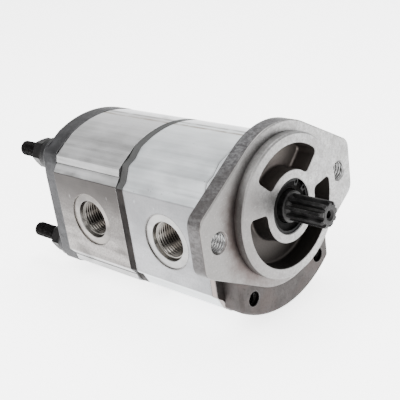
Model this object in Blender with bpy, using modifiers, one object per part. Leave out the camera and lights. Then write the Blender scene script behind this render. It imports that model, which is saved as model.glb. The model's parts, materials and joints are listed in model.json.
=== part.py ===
"""Tandem hydraulic gear pump: two external gear pumps on one shaft line.

Frame: X runs along the drive shaft and points out of the front, Z is up, and the origin is
on the shaft axis in the plane of the mounting face. The pump reaches back towards -X.
"""
import math

import bmesh
import bpy

MM = 0.001

# Clearance between pieces that touch in the real pump.
GAP = 0.3 * MM

# Gear train: equal spur gears, the driven axis straight under the drive axis.
MODULE = 3.0 * MM
TEETH = 10
PRESSURE_ANGLE = math.radians(25)
CENTRE_DISTANCE = MODULE * TEETH
ADDENDUM = 2.8 * MM
TIP_CLEARANCE = 0.4 * MM
BACKLASH = 0.45 * MM
GEAR_WIDTH = 20.0 * MM
MID_Z = -CENTRE_DISTANCE / 2

# Planes along the shaft.
SHAFT_END_X = 31.5 * MM
PILOT_HEIGHT = 6.35 * MM
FLANGE_THICKNESS = 10.0 * MM
NECK_FRONT_X = -16.0 * MM
FRONT_COVER_REAR_X = -19.5 * MM
CENTRE_PLATE_FRONT_X = -81.5 * MM
CENTRE_PLATE_REAR_X = -86.9 * MM
REAR_COVER_FRONT_X = -146.5 * MM
REAR_COVER_REAR_X = -160.0 * MM
STUD_BOSS_REAR_X = -164.5 * MM
STUD_FRONT_X = -8.0 * MM
UPPER_STUD_REAR_X = -196.0 * MM
LOWER_STUD_REAR_X = -201.5 * MM
FRONT_BODY = (FRONT_COVER_REAR_X - GAP, CENTRE_PLATE_FRONT_X + GAP)
REAR_BODY = (CENTRE_PLATE_REAR_X - GAP, REAR_COVER_FRONT_X + GAP)

# Mounting flange: SAE A, two bolts.
PILOT_RADIUS = 82.55 * MM / 2
BOLT_SPACING = 106.4 * MM
BOLT_HOLE_RADIUS = 11.3 * MM / 2
FLANGE_RADIUS = 47.2 * MM
FLANGE_HALF_WIDTH = 65.0 * MM
FLANGE_EDGE_SLOPE = math.radians(31.5)
LOBE_FRONT_X = -2.65 * MM
LOBE_HALF_WIDTH = 40.0 * MM
LOBE_RADIUS = 64.2 * MM
LOBE_CORNER_ROUNDING = 2.5 * MM
SEAL_BORE_RADIUS = 15.5 * MM
SEAL_BORE_FLOOR_X = -8.0 * MM
POCKET_INNER_RADIUS = 20.7 * MM
POCKET_OUTER_RADIUS = 35.2 * MM
POCKET_FLOOR_X = -6.0 * MM
UPPER_POCKET = (43, 137)
LOWER_POCKET = (171, 369)

# Tie studs, nuts and washers (M10).
STUD_RADIUS = 5.0 * MM
STUD_HOLE_RADIUS = STUD_RADIUS + GAP
TAPPED_HOLE_RADIUS = 4.4 * MM
STUD_Y = 29.7 * MM
STUD_UPPER_Z = 15.8 * MM
STUD_PLACES = {
    "upper_left": (-STUD_Y, STUD_UPPER_Z),
    "upper_right": (STUD_Y, STUD_UPPER_Z),
    "lower_left": (-STUD_Y, 2 * MID_Z - STUD_UPPER_Z),
    "lower_right": (STUD_Y, 2 * MID_Z - STUD_UPPER_Z),
}
STUD_BOSS_RADIUS = 11.0 * MM
WASHER_RADIUS = 10.2 * MM
WASHER_THICKNESS = 2.0 * MM
NUT_ACROSS_FLATS = 17.0 * MM
NUT_HEIGHT = 8.4 * MM

# Shafts, bearing blocks and bushes.
JOURNAL_RADIUS = 9.0 * MM
BUSH_WALL = 1.5 * MM
BUSH_LENGTH = 14.0 * MM
BUSH_INNER_RADIUS = JOURNAL_RADIUS + GAP
BUSH_OUTER_RADIUS = BUSH_INNER_RADIUS + BUSH_WALL
BLOCK_BORE_RADIUS = BUSH_OUTER_RADIUS + GAP
GEAR_TIP_RADIUS = CENTRE_DISTANCE / 2 + ADDENDUM
GEAR_CHAMBER_RADIUS = GEAR_TIP_RADIUS + 0.5 * MM
BLOCK_RADIUS = GEAR_CHAMBER_RADIUS - GAP
SPLINE_TEETH = 9
SHAFT_SPLINE_RADIUS = 15.5 * MM / 2
SHAFT_SPLINE_DEPTH = 2.2 * MM
SHAFT_SPLINE_REAR_X = 8.0 * MM
CENTRE_HOLE_RADIUS = 2.1 * MM
CENTRE_HOLE_MOUTH_RADIUS = 3.2 * MM
CENTRE_HOLE_DEPTH = 5.0 * MM
COUPLING_SPLINE_RADIUS = 6.6 * MM
COUPLING_SPLINE_DEPTH = 1.3 * MM
COUPLING_RADIUS = 9.7 * MM
COUPLING_CLEARANCE = 1.3 * MM
COVER_BORE_RADIUS = JOURNAL_RADIUS + 1.0 * MM
COUPLING_ENDS = (-77.2 * MM, -91.2 * MM)
FRONT_SHAFT_REAR_X = -83.9 * MM
REAR_SHAFT_FRONT_X = -84.5 * MM
JOURNAL_END_GAP = 1.6 * MM
JOURNAL_CHAMFER = 0.6 * MM
SPLINE_ROOT_UNDERCUT = 0.2 * MM

# Side ports: (thread radius, mouth radius, spotface radius, passage radius).
OUTLET_PORT = (11.1 * MM, 12.0 * MM, 17.0 * MM, 8.0 * MM)
INLET_PORT = (13.5 * MM, 14.5 * MM, 20.5 * MM, 9.5 * MM)
SPOTFACE_DEPTH = 0.8 * MM
PORT_MOUTH_DEPTH = 2.6 * MM
PORT_THREAD_DEPTH = 18.0 * MM
PORT_PASSAGE_DEPTH = 38.0 * MM
BODY_HALF_WIDTH = 45.0 * MM

# Seals.
SECTION_GROOVE = (20.0 * MM, 22.6 * MM)
SECTION_GROOVE_DEPTH = 1.9 * MM
PRESSURE_SEAL_RADIUS = 14.5 * MM
PRESSURE_SEAL_ANGLES = (math.radians(75), math.radians(235))
PRESSURE_GROOVE_DEPTH = 1.6 * MM
PRESSURE_GROOVE_HALF_WIDTH = 1.2 * MM
SHAFT_SEAL_ENDS = (4.0 * MM, -3.0 * MM)
RETAINING_RING_X = 5.0 * MM
RETAINING_RING_THICKNESS = 0.7 * MM
RETAINING_RING_GAP_ANGLE = math.radians(45)
RETAINING_GROOVE_RADIUS = 16.4 * MM

# Dowel pins.
DOWEL_RADIUS = 2.5 * MM
DOWEL_DEPTH = 6.0 * MM
DOWEL_PLACES = {"left": (-33.0 * MM, -8.0 * MM), "right": (33.0 * MM, -22.0 * MM)}

# Tessellation: the farthest that a flat facet may cut inside its arc.
FACET_SAG = 0.15 * MM
COARSEST_STEP = math.radians(45)
CUT_OVERRUN = 1.0 * MM
WELD_DISTANCE = 0.00001
SMOOTH_ANGLE = math.radians(30)

# Local X, Y and Z of an object turned this way point along world Y, Z and X.
ALONG_X = (math.pi / 2, 0, math.pi / 2)

# Finishes: base colour, metallic, roughness.
FINISHES = {
    "cast_aluminium": ((0.56, 0.56, 0.55), 1.0, 0.48),
    "extruded_aluminium": ((0.74, 0.74, 0.74), 1.0, 0.32),
    "dark_aluminium": ((0.16, 0.155, 0.15), 1.0, 0.45),
    "ground_steel": ((0.52, 0.52, 0.53), 1.0, 0.22),
    "black_steel": ((0.025, 0.025, 0.027), 0.6, 0.42),
    "block_aluminium": ((0.62, 0.60, 0.56), 1.0, 0.35),
    "bearing_bronze": ((0.50, 0.32, 0.17), 1.0, 0.38),
    "black_rubber": ((0.02, 0.02, 0.02), 0.0, 0.6),
}


# ---------------------------------------------------------------- scene and objects

def clear_scene():
    for obj in list(bpy.data.objects):
        bpy.data.objects.remove(obj)


def new_collection(name):
    collection = bpy.data.collections.new(name)
    bpy.context.scene.collection.children.link(collection)
    return collection


def add_object(name, data, x=0.0, axis=(0.0, 0.0)):
    """Link an object whose local Z runs along world X, centred on a (y, z) axis."""
    obj = bpy.data.objects.new(name, data)
    obj.location = (x, axis[0], axis[1])
    obj.rotation_euler = ALONG_X
    CUTTERS.objects.link(obj)
    bpy.context.view_layer.update()
    return obj


def finish_part(obj, finish):
    """Make an object a part of the pump, with its own material."""
    colour, metallic, roughness = FINISHES[finish]
    material = bpy.data.materials.new(obj.name + "_material")
    material.use_nodes = True
    shader = material.node_tree.nodes["Principled BSDF"]
    shader.inputs["Base Color"].default_value = (*colour, 1.0)
    shader.inputs["Metallic"].default_value = metallic
    shader.inputs["Roughness"].default_value = roughness
    obj.data.materials.append(material)
    CUTTERS.objects.unlink(obj)
    PUMP.objects.link(obj)
    return obj


def combine(obj, tool, operation):
    """Join a tool shape to an object or cut it away, and hide the tool."""
    modifier = obj.modifiers.new(tool.name, "BOOLEAN")
    modifier.operation = operation
    modifier.solver = "EXACT"
    modifier.object = tool
    tool.hide_render = True
    tool.display_type = "WIRE"


def cut(obj, *tools):
    for tool in tools:
        combine(obj, tool, "DIFFERENCE")


def join(obj, *tools):
    for tool in tools:
        combine(obj, tool, "UNION")


# ---------------------------------------------------------------- shapes

def prism(name, outlines, x_front, x_rear, axis=(0.0, 0.0)):
    """Extrude closed (y, z) outlines along X. The first is the outside, the others are holes."""
    curve = bpy.data.curves.new(name, "CURVE")
    curve.dimensions = "2D"
    curve.fill_mode = "BOTH"
    curve.extrude = abs(x_front - x_rear) / 2
    for outline in outlines:
        spline = curve.splines.new("POLY")
        spline.points.add(len(outline) - 1)
        for point, (y, z) in zip(spline.points, outline):
            point.co = (y, z, 0.0, 1.0)
        spline.use_cyclic_u = True
    source = add_object(name + "_outline", curve, (x_front + x_rear) / 2, axis)
    evaluated = source.evaluated_get(bpy.context.evaluated_depsgraph_get())
    mesh = bpy.data.meshes.new_from_object(evaluated)
    solid = bpy.data.objects.new(name, mesh)
    solid.matrix_world = source.matrix_world
    CUTTERS.objects.link(solid)
    bpy.data.objects.remove(source)
    welded = bmesh.new()
    welded.from_mesh(mesh)
    bmesh.ops.remove_doubles(welded, verts=welded.verts, dist=WELD_DISTANCE)
    bmesh.ops.recalc_face_normals(welded, faces=welded.faces)
    welded.to_mesh(mesh)
    welded.free()
    mesh.shade_smooth()
    mesh.set_sharp_from_angle(angle=SMOOTH_ANGLE)
    return solid


def turned(name, profile, axis=(0.0, 0.0), closed=False):
    """Turn a (radius, x) profile about X. It runs down the outer side, front to rear."""
    steps = math.ceil(2 * math.pi / facet_step(max(radius for radius, x in profile)))
    mesh = bpy.data.meshes.new(name)
    vertices = [(radius, 0.0, x) for radius, x in profile]
    edges = [(i, i + 1) for i in range(len(profile) - 1)]
    if closed:
        edges.append((len(profile) - 1, 0))
    mesh.from_pydata(vertices, edges, [])
    obj = add_object(name, mesh, 0.0, axis)
    screw = obj.modifiers.new("turn", "SCREW")
    screw.steps = steps
    screw.render_steps = steps
    screw.use_merge_vertices = True
    screw.merge_threshold = WELD_DISTANCE
    screw.use_smooth_shade = True
    return obj


def rod(name, radius, x_front, x_rear, axis=(0.0, 0.0), chamfer=0.0):
    """A round bar along X, with an optional chamfer at both ends."""
    if chamfer:
        side = [
            (radius - chamfer, x_front),
            (radius, x_front - chamfer),
            (radius, x_rear + chamfer),
            (radius - chamfer, x_rear),
        ]
    else:
        side = [(radius, x_front), (radius, x_rear)]
    return turned(name, [(0.0, x_front)] + side + [(0.0, x_rear)], axis)


def ring(name, inner, outer, x_front, x_rear, axis=(0.0, 0.0)):
    profile = [(outer, x_front), (outer, x_rear), (inner, x_rear), (inner, x_front)]
    return turned(name, profile, axis, closed=True)


# ---------------------------------------------------------------- outlines in the YZ plane

def facet_step(radius):
    """Largest turn of one facet that keeps it within the allowed sag."""
    return min(COARSEST_STEP, 2 * math.acos(1 - FACET_SAG / radius))


def arc(centre, radius, start, end, with_end=True):
    """Points on an arc. Angles are in radians from +Y towards +Z."""
    count = max(1, math.ceil(abs(end - start) / facet_step(radius) - 1e-6))
    steps = range(count + 1 if with_end else count)
    angles = [start + (end - start) * i / count for i in steps]
    return [(centre[0] + radius * math.cos(a), centre[1] + radius * math.sin(a)) for a in angles]


def circle(radius, centre=(0.0, 0.0)):
    return arc(centre, radius, 0.0, 2 * math.pi, with_end=False)


def hexagon(corner_radius):
    angles = [math.pi / 3 * corner for corner in range(6)]
    return [(corner_radius * math.cos(a), corner_radius * math.sin(a)) for a in angles]


def rounded(corners):
    """Close a polygon of (y, z, radius) corners, each one rounded by an arc."""
    outline = []
    for i, (y, z, radius) in enumerate(corners):
        before = corners[i - 1]
        after = corners[(i + 1) % len(corners)]
        angle_in = math.atan2(z - before[1], y - before[0])
        angle_out = math.atan2(after[1] - z, after[0] - y)
        turn = (angle_out - angle_in + math.pi) % (2 * math.pi) - math.pi
        if not radius:
            outline.append((y, z))
            continue
        setback = radius * math.tan(abs(turn) / 2)
        side = math.copysign(math.pi / 2, turn)
        start = (y - setback * math.cos(angle_in), z - setback * math.sin(angle_in))
        centre = (
            start[0] + radius * math.cos(angle_in + side),
            start[1] + radius * math.sin(angle_in + side),
        )
        outline += arc(centre, radius, angle_in - side, angle_in - side + turn)
    return outline


def four_way(corners):
    """Mirror the corners of the upper left quarter into a whole section, anticlockwise."""
    left = corners + [(y, 2 * MID_Z - z, radius) for y, z, radius in reversed(corners)]
    top, bottom = left[0], left[-1]
    right = [(-y, z, radius) for y, z, radius in reversed(left[1:-1])]
    return rounded([top] + left[1:-1] + [bottom] + right)


def crown(radius, half_width):
    """Corner whose rounding is the shallow crown arc centred on the driven axis."""
    slope = math.asin(half_width / radius)
    edge_z = -CENTRE_DISTANCE + radius * math.cos(slope)
    return 0.0, edge_z + half_width * math.tan(slope), radius


def body_outline():
    quarter = [
        crown(66.0 * MM, 22.5 * MM),
        (-25.5 * MM, 30.95 * MM, 4.0 * MM),
        (-31.5 * MM, 25.7 * MM, 4.0 * MM),
        (-36.9 * MM, 23.6 * MM, 3.0 * MM),
        (-41.2 * MM, 14.6 * MM, 4.0 * MM),
        (-BODY_HALF_WIDTH, 12.0 * MM, 3.0 * MM),
    ]
    return four_way(quarter)


def rear_body_outline():
    """Section of the rear pump: a wider, flatter ear over the stud than the front one has."""
    quarter = [
        crown(66.0 * MM, 22.5 * MM),
        (-25.0 * MM, 31.1 * MM, 4.0 * MM),
        (-32.2 * MM, 26.7 * MM, 4.0 * MM),
        (-40.0 * MM, 21.7 * MM, 2.0 * MM),
        (-41.2 * MM, 16.7 * MM, 2.0 * MM),
        (-BODY_HALF_WIDTH, 11.8 * MM, 2.0 * MM),
    ]
    return four_way(quarter)


def rear_cover_outline():
    quarter = [
        crown(66.3 * MM, 22.5 * MM),
        (-25.5 * MM, 31.2 * MM, 4.0 * MM),
        (-32.4 * MM, 27.1 * MM, 4.0 * MM),
        (-39.8 * MM, 23.0 * MM, 4.0 * MM),
        (-41.6 * MM, 16.0 * MM, 8.0 * MM),
        (-42.3 * MM, 7.0 * MM, 8.0 * MM),
    ]
    return four_way(quarter)


def flange_outline():
    """Two-bolt flange: a round middle with straight edges tangent to it and square lugs."""
    lug_z = (FLANGE_RADIUS - FLANGE_HALF_WIDTH * math.sin(FLANGE_EDGE_SLOPE)) / math.cos(
        FLANGE_EDGE_SLOPE
    )
    peak_z = FLANGE_RADIUS / math.cos(FLANGE_EDGE_SLOPE)
    lug_rounding = 8.0 * MM
    corners = [
        (0.0, peak_z, FLANGE_RADIUS),
        (-FLANGE_HALF_WIDTH, lug_z, lug_rounding),
        (-FLANGE_HALF_WIDTH, -lug_z, lug_rounding),
        (0.0, -peak_z, FLANGE_RADIUS),
        (FLANGE_HALF_WIDTH, -lug_z, lug_rounding),
        (FLANGE_HALF_WIDTH, lug_z, lug_rounding),
    ]
    return rounded(corners)


def lobe_outline():
    """Block behind the flange. Its top stays inside the flange, its bottom hangs out below."""
    arc_half_width = LOBE_HALF_WIDTH - 2.0 * MM
    slope = math.asin(arc_half_width / LOBE_RADIUS)
    edge_z = -LOBE_RADIUS * math.cos(slope)
    corner_z = edge_z + (LOBE_HALF_WIDTH - arc_half_width) * math.tan(slope)
    left = [
        crown(66.0 * MM, 22.5 * MM),
        (-31.0 * MM, 27.5 * MM, 4.0 * MM),
        (-LOBE_HALF_WIDTH, 18.0 * MM, 4.0 * MM),
        (-LOBE_HALF_WIDTH, corner_z, LOBE_CORNER_ROUNDING),
    ]
    bottom = (0.0, edge_z - arc_half_width * math.tan(slope), LOBE_RADIUS)
    right = [(-y, z, radius) for y, z, radius in reversed(left[1:])]
    return rounded(left + [bottom] + right)


def sector_outline(angles, inner, outer, rounding=3.0 * MM):
    """Annular pocket between two angles in degrees, with rounded corners."""
    start, end = (math.radians(angle) for angle in angles)
    quarter = math.pi / 2
    outer_inset = math.asin(rounding / (outer - rounding))
    inner_inset = math.asin(rounding / (inner + rounding))

    def corner(radius, angle, turn_from, turn_to):
        centre = (radius * math.cos(angle), radius * math.sin(angle))
        return arc(centre, rounding, turn_from, turn_to, with_end=False)

    outer_start, outer_end = start + outer_inset, end - outer_inset
    inner_start, inner_end = start + inner_inset, end - inner_inset
    axis = (0.0, 0.0)
    outline = arc(axis, outer, outer_start, outer_end, with_end=False)
    outline += corner(outer - rounding, outer_end, outer_end, end + quarter)
    outline += corner(inner + rounding, inner_end, end + quarter, inner_end + 2 * quarter)
    outline += arc(axis, inner, inner_end, inner_start, with_end=False)
    outline += corner(inner + rounding, inner_start, inner_start - 2 * quarter, start - quarter)
    outline += corner(outer - rounding, outer_start, start - quarter, outer_start)
    return outline


def figure_eight(radius):
    """Two overlapping circles on the drive and driven axes."""
    waist = math.asin(CENTRE_DISTANCE / 2 / radius)
    upper = arc((0.0, 0.0), radius, -waist, math.pi + waist, with_end=False)
    axis = (0.0, -CENTRE_DISTANCE)
    lower = arc(axis, radius, math.pi - waist, 2 * math.pi + waist, with_end=False)
    return upper + lower


def racetrack(radius):
    """Two half circles on the drive and driven axes, joined by straight sides."""
    upper = arc((0.0, 0.0), radius, 0.0, math.pi)
    lower = arc((0.0, -CENTRE_DISTANCE), radius, math.pi, 2 * math.pi)
    return upper + lower


def three_outline(half_width, end_trim=0.0):
    """The 3-shaped band that walls off the high-pressure side of a bearing block."""
    start = PRESSURE_SEAL_ANGLES[0] + end_trim
    waist = PRESSURE_SEAL_ANGLES[1]
    sides = []
    for offset in (half_width, -half_width):
        radius = PRESSURE_SEAL_RADIUS + offset
        upper = arc((0.0, 0.0), radius, start, waist)
        lower = arc((0.0, -CENTRE_DISTANCE), radius, 2 * math.pi - waist, 2 * math.pi - start)
        sides.append(upper + lower)
    return sides[0] + sides[1][::-1]


def involute_angle(radius, base_radius):
    ratio = math.sqrt((radius / base_radius) ** 2 - 1)
    return ratio - math.atan(ratio)


def gear_outline(phase=0.0):
    """Involute teeth, the first one centred on the phase angle."""
    pitch_radius = MODULE * TEETH / 2
    base_radius = pitch_radius * math.cos(PRESSURE_ANGLE)
    root_radius = CENTRE_DISTANCE - GEAR_TIP_RADIUS - TIP_CLEARANCE
    pitch_half = (math.pi * MODULE / 2 - BACKLASH) / 2 / pitch_radius
    base_half = pitch_half + involute_angle(pitch_radius, base_radius)
    flank_steps = 3
    flank = [(root_radius, base_half)]
    for i in range(flank_steps + 1):
        radius = base_radius + (GEAR_TIP_RADIUS - base_radius) * i / flank_steps
        flank.append((radius, base_half - involute_angle(radius, base_radius)))
    outline = []
    for tooth in range(TEETH):
        centre = phase + 2 * math.pi * tooth / TEETH
        rising = [(radius, centre - half) for radius, half in flank]
        falling = [(radius, centre + half) for radius, half in reversed(flank)]
        outline += [(r * math.cos(a), r * math.sin(a)) for r, a in rising + falling]
    return outline


def spline_outline(radius, depth, grow=0.0):
    """Straight-sided spline teeth. A grown outline is the matching internal spline."""
    pitch = 2 * math.pi / SPLINE_TEETH
    outer = radius + grow
    inner = radius - depth + grow
    outline = []
    for tooth in range(SPLINE_TEETH):
        centre = tooth * pitch
        for reach, share in ((inner, -0.31), (outer, -0.17), (outer, 0.17), (inner, 0.31)):
            angle = centre + pitch * share + math.copysign(grow / reach, share)
            outline.append((reach * math.cos(angle), reach * math.sin(angle)))
    return outline


# ---------------------------------------------------------------- castings and bodies

def stud_rods(name, radius, x_front, x_rear):
    return [
        rod(f"{name}_{place}", radius, x_front, x_rear, axis)
        for place, axis in STUD_PLACES.items()
    ]


def dowel_rods(name, x_front, x_rear):
    return [
        rod(f"{name}_{place}", DOWEL_RADIUS + GAP, x_front, x_rear, axis)
        for place, axis in DOWEL_PLACES.items()
    ]


def front_cover():
    bolts = [circle(BOLT_HOLE_RADIUS, (side * BOLT_SPACING / 2, 0.0)) for side in (-1, 1)]
    overlap = 0.5 * MM
    cover = prism("front_cover", [flange_outline()] + bolts, 0.0, -FLANGE_THICKNESS)
    lobe = prism("cover_lobe", [lobe_outline()], LOBE_FRONT_X, NECK_FRONT_X)
    neck = prism("cover_neck", [body_outline()], NECK_FRONT_X + overlap, FRONT_COVER_REAR_X)
    chamfer = 1.0 * MM
    pilot_profile = [
        (0.0, PILOT_HEIGHT),
        (PILOT_RADIUS - chamfer, PILOT_HEIGHT),
        (PILOT_RADIUS, PILOT_HEIGHT - chamfer),
        (PILOT_RADIUS, -overlap),
        (0.0, -overlap),
    ]
    join(cover, lobe, neck, turned("cover_pilot", pilot_profile))
    bore_profile = [
        (0.0, PILOT_HEIGHT + CUT_OVERRUN),
        (SEAL_BORE_RADIUS, PILOT_HEIGHT + CUT_OVERRUN),
        (SEAL_BORE_RADIUS, SEAL_BORE_FLOOR_X),
        (COVER_BORE_RADIUS, SEAL_BORE_FLOOR_X),
        (COVER_BORE_RADIUS, FRONT_COVER_REAR_X - CUT_OVERRUN),
        (0.0, FRONT_COVER_REAR_X - CUT_OVERRUN),
    ]
    cut(cover, turned("cover_bore", bore_profile))
    groove_half = RETAINING_RING_THICKNESS / 2 + GAP
    groove_ends = (RETAINING_RING_X + groove_half, RETAINING_RING_X - groove_half)
    cut(cover, rod("ring_groove", RETAINING_GROOVE_RADIUS, *groove_ends))
    for name, angles in (("upper_pocket", UPPER_POCKET), ("lower_pocket", LOWER_POCKET)):
        outline = sector_outline(angles, POCKET_INNER_RADIUS, POCKET_OUTER_RADIUS)
        cut(cover, prism(name, [outline], PILOT_HEIGHT + CUT_OVERRUN, POCKET_FLOOR_X))
    rear = FRONT_COVER_REAR_X - CUT_OVERRUN
    cut(cover, *stud_rods("cover_stud_hole", STUD_HOLE_RADIUS, STUD_FRONT_X + 1.0 * MM, rear))
    for place in ("lower_left", "lower_right"):
        axis = STUD_PLACES[place]
        front = LOBE_FRONT_X + CUT_OVERRUN
        cut(cover, rod(f"tapped_hole_{place}", TAPPED_HOLE_RADIUS, front, STUD_FRONT_X, axis))
    cut(cover, *dowel_rods("cover_dowel_hole", FRONT_COVER_REAR_X + DOWEL_DEPTH + GAP, rear))
    return finish_part(cover, "cast_aluminium")


def port_cutter(name, port, x, side):
    """Spotfaced, coned and stepped port, sunk into one side of a body."""
    thread, mouth, spotface, passage = port
    profile = [
        (0.0, CUT_OVERRUN),
        (spotface, CUT_OVERRUN),
        (spotface, -SPOTFACE_DEPTH),
        (mouth, -SPOTFACE_DEPTH),
        (thread, -PORT_MOUTH_DEPTH),
        (thread, -PORT_THREAD_DEPTH),
        (passage, -PORT_THREAD_DEPTH - (thread - passage) / 2),
        (passage, -PORT_PASSAGE_DEPTH),
        (0.0, -PORT_PASSAGE_DEPTH),
    ]
    cutter = turned(name, profile)
    cutter.location = (x, side * BODY_HALF_WIDTH, MID_Z)
    cutter.rotation_euler = (-side * math.pi / 2, 0.0, 0.0)
    return cutter


def groove_cutter(name, x_front, x_rear):
    inner, outer = SECTION_GROOVE
    return prism(name, [racetrack(outer), racetrack(inner)], x_front, x_rear)


def pump_body(name, outline, ends):
    front, rear = ends
    holes = [circle(STUD_HOLE_RADIUS, axis) for axis in STUD_PLACES.values()]
    outlines = [outline, figure_eight(GEAR_CHAMBER_RADIUS)] + holes
    body = prism(name, outlines, front, rear)
    middle = (front + rear) / 2
    cut(body, port_cutter(name + "_outlet", OUTLET_PORT, middle, -1))
    cut(body, port_cutter(name + "_inlet", INLET_PORT, middle, 1))
    depth = SECTION_GROOVE_DEPTH
    cut(body, groove_cutter(name + "_front_groove", front + CUT_OVERRUN, front - depth))
    cut(body, groove_cutter(name + "_rear_groove", rear + depth, rear - CUT_OVERRUN))
    hole_depth = DOWEL_DEPTH + GAP
    cut(body, *dowel_rods(name + "_front_dowel_hole", front + CUT_OVERRUN, front - hole_depth))
    cut(body, *dowel_rods(name + "_rear_dowel_hole", rear + hole_depth, rear - CUT_OVERRUN))
    return finish_part(body, "extruded_aluminium")


def centre_plate():
    coupling_hole = circle(COUPLING_RADIUS + COUPLING_CLEARANCE)
    studs = [circle(STUD_HOLE_RADIUS, axis) for axis in STUD_PLACES.values()]
    dowels = [circle(DOWEL_RADIUS + GAP, axis) for axis in DOWEL_PLACES.values()]
    outlines = [body_outline(), coupling_hole] + studs + dowels
    plate = prism("centre_plate", outlines, CENTRE_PLATE_FRONT_X, CENTRE_PLATE_REAR_X)
    return finish_part(plate, "dark_aluminium")


def rear_cover():
    cover = prism("rear_cover", [rear_cover_outline()], REAR_COVER_FRONT_X, REAR_COVER_REAR_X)
    overlap = 2.0 * MM
    boss_front = REAR_COVER_REAR_X + overlap
    join(cover, *stud_rods("stud_boss", STUD_BOSS_RADIUS, boss_front, STUD_BOSS_REAR_X))
    front = REAR_COVER_FRONT_X + CUT_OVERRUN
    rear = STUD_BOSS_REAR_X - CUT_OVERRUN
    cut(cover, *stud_rods("rear_stud_hole", STUD_HOLE_RADIUS, front, rear))
    cut(cover, *dowel_rods("rear_dowel_hole", front, REAR_COVER_FRONT_X - DOWEL_DEPTH - GAP))
    return finish_part(cover, "cast_aluminium")


# ---------------------------------------------------------------- rotating group

def gear_span(ends):
    middle = (ends[0] + ends[1]) / 2
    return middle + GEAR_WIDTH / 2, middle - GEAR_WIDTH / 2


def front_drive_shaft():
    """Splined end with a centre hole, seal and bearing journals, gear and splined tail."""
    gear_front, gear_rear = gear_span(FRONT_BODY)
    core = SHAFT_SPLINE_RADIUS - SHAFT_SPLINE_DEPTH - SPLINE_ROOT_UNDERCUT
    tail = COUPLING_SPLINE_RADIUS - COUPLING_SPLINE_DEPTH - SPLINE_ROOT_UNDERCUT
    tail_front = COUPLING_ENDS[0] + 2 * GAP
    profile = [
        (0.0, SHAFT_END_X),
        (core, SHAFT_END_X),
        (core, SHAFT_SPLINE_REAR_X),
        (JOURNAL_RADIUS, SHAFT_SPLINE_REAR_X - 1.4 * MM),
        (JOURNAL_RADIUS, tail_front + JOURNAL_CHAMFER),
        (JOURNAL_RADIUS - JOURNAL_CHAMFER, tail_front),
        (tail, tail_front),
        (tail, FRONT_SHAFT_REAR_X),
        (0.0, FRONT_SHAFT_REAR_X),
    ]
    shaft = turned("front_drive_shaft", profile)
    end_spline = spline_outline(SHAFT_SPLINE_RADIUS, SHAFT_SPLINE_DEPTH)
    spline_front = SHAFT_END_X - 0.8 * MM
    spline_rear = SHAFT_SPLINE_REAR_X - 0.9 * MM
    join(shaft, prism("input_spline", [end_spline], spline_front, spline_rear))
    join(shaft, prism("front_drive_teeth", [gear_outline(math.pi / 2)], gear_front, gear_rear))
    tail_spline = spline_outline(COUPLING_SPLINE_RADIUS, COUPLING_SPLINE_DEPTH)
    tail_ends = (tail_front + 0.5 * MM, FRONT_SHAFT_REAR_X + 0.5 * MM)
    join(shaft, prism("front_tail_spline", [tail_spline], *tail_ends))
    hole_profile = [
        (0.0, SHAFT_END_X + CUT_OVERRUN),
        (CENTRE_HOLE_MOUTH_RADIUS + CUT_OVERRUN, SHAFT_END_X + CUT_OVERRUN),
        (CENTRE_HOLE_RADIUS, SHAFT_END_X - CENTRE_HOLE_MOUTH_RADIUS + CENTRE_HOLE_RADIUS),
        (CENTRE_HOLE_RADIUS, SHAFT_END_X - CENTRE_HOLE_DEPTH),
        (0.0, SHAFT_END_X - CENTRE_HOLE_DEPTH - CENTRE_HOLE_RADIUS / 2),
    ]
    cut(shaft, turned("input_centre_hole", hole_profile))
    return finish_part(shaft, "black_steel")


def rear_drive_shaft():
    gear_front, gear_rear = gear_span(REAR_BODY)
    nose = COUPLING_SPLINE_RADIUS - COUPLING_SPLINE_DEPTH - SPLINE_ROOT_UNDERCUT
    nose_rear = COUPLING_ENDS[1] - 2 * GAP
    rear = REAR_BODY[1] + JOURNAL_END_GAP
    profile = [
        (0.0, REAR_SHAFT_FRONT_X),
        (nose, REAR_SHAFT_FRONT_X),
        (nose, nose_rear),
        (JOURNAL_RADIUS - JOURNAL_CHAMFER, nose_rear),
        (JOURNAL_RADIUS, nose_rear - JOURNAL_CHAMFER),
        (JOURNAL_RADIUS, rear),
        (0.0, rear),
    ]
    shaft = turned("rear_drive_shaft", profile)
    nose_spline = spline_outline(COUPLING_SPLINE_RADIUS, COUPLING_SPLINE_DEPTH)
    nose_ends = (REAR_SHAFT_FRONT_X - 0.5 * MM, nose_rear - 0.5 * MM)
    join(shaft, prism("rear_nose_spline", [nose_spline], *nose_ends))
    join(shaft, prism("rear_drive_teeth", [gear_outline(math.pi / 2)], gear_front, gear_rear))
    return finish_part(shaft, "ground_steel")


def driven_gear(name, ends):
    gear_front, gear_rear = gear_span(ends)
    axis = (0.0, -CENTRE_DISTANCE)
    front = ends[0] - JOURNAL_END_GAP
    rear = ends[1] + JOURNAL_END_GAP
    shaft = rod(name, JOURNAL_RADIUS, front, rear, axis, JOURNAL_CHAMFER)
    half_pitch = math.pi / TEETH
    teeth = gear_outline(math.pi / 2 + half_pitch)
    join(shaft, prism(name + "_teeth", [teeth], gear_front, gear_rear, axis))
    return finish_part(shaft, "ground_steel")


def coupling_sleeve():
    inside = spline_outline(COUPLING_SPLINE_RADIUS, COUPLING_SPLINE_DEPTH, GAP)
    sleeve = prism("coupling_sleeve", [circle(COUPLING_RADIUS), inside], *COUPLING_ENDS)
    return finish_part(sleeve, "ground_steel")


# ---------------------------------------------------------------- bearings and seals

def block_spans():
    """Front and rear X of each bearing block, with the end that faces away from the gears."""
    spans = {}
    for section, ends in (("front", FRONT_BODY), ("rear", REAR_BODY)):
        gear_front, gear_rear = gear_span(ends)
        spans[section + "_pump_front"] = (ends[0] - 0.1 * MM, gear_front + GAP, 1)
        spans[section + "_pump_rear"] = (gear_rear - GAP, ends[1] + 0.1 * MM, -1)
    return spans


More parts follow.
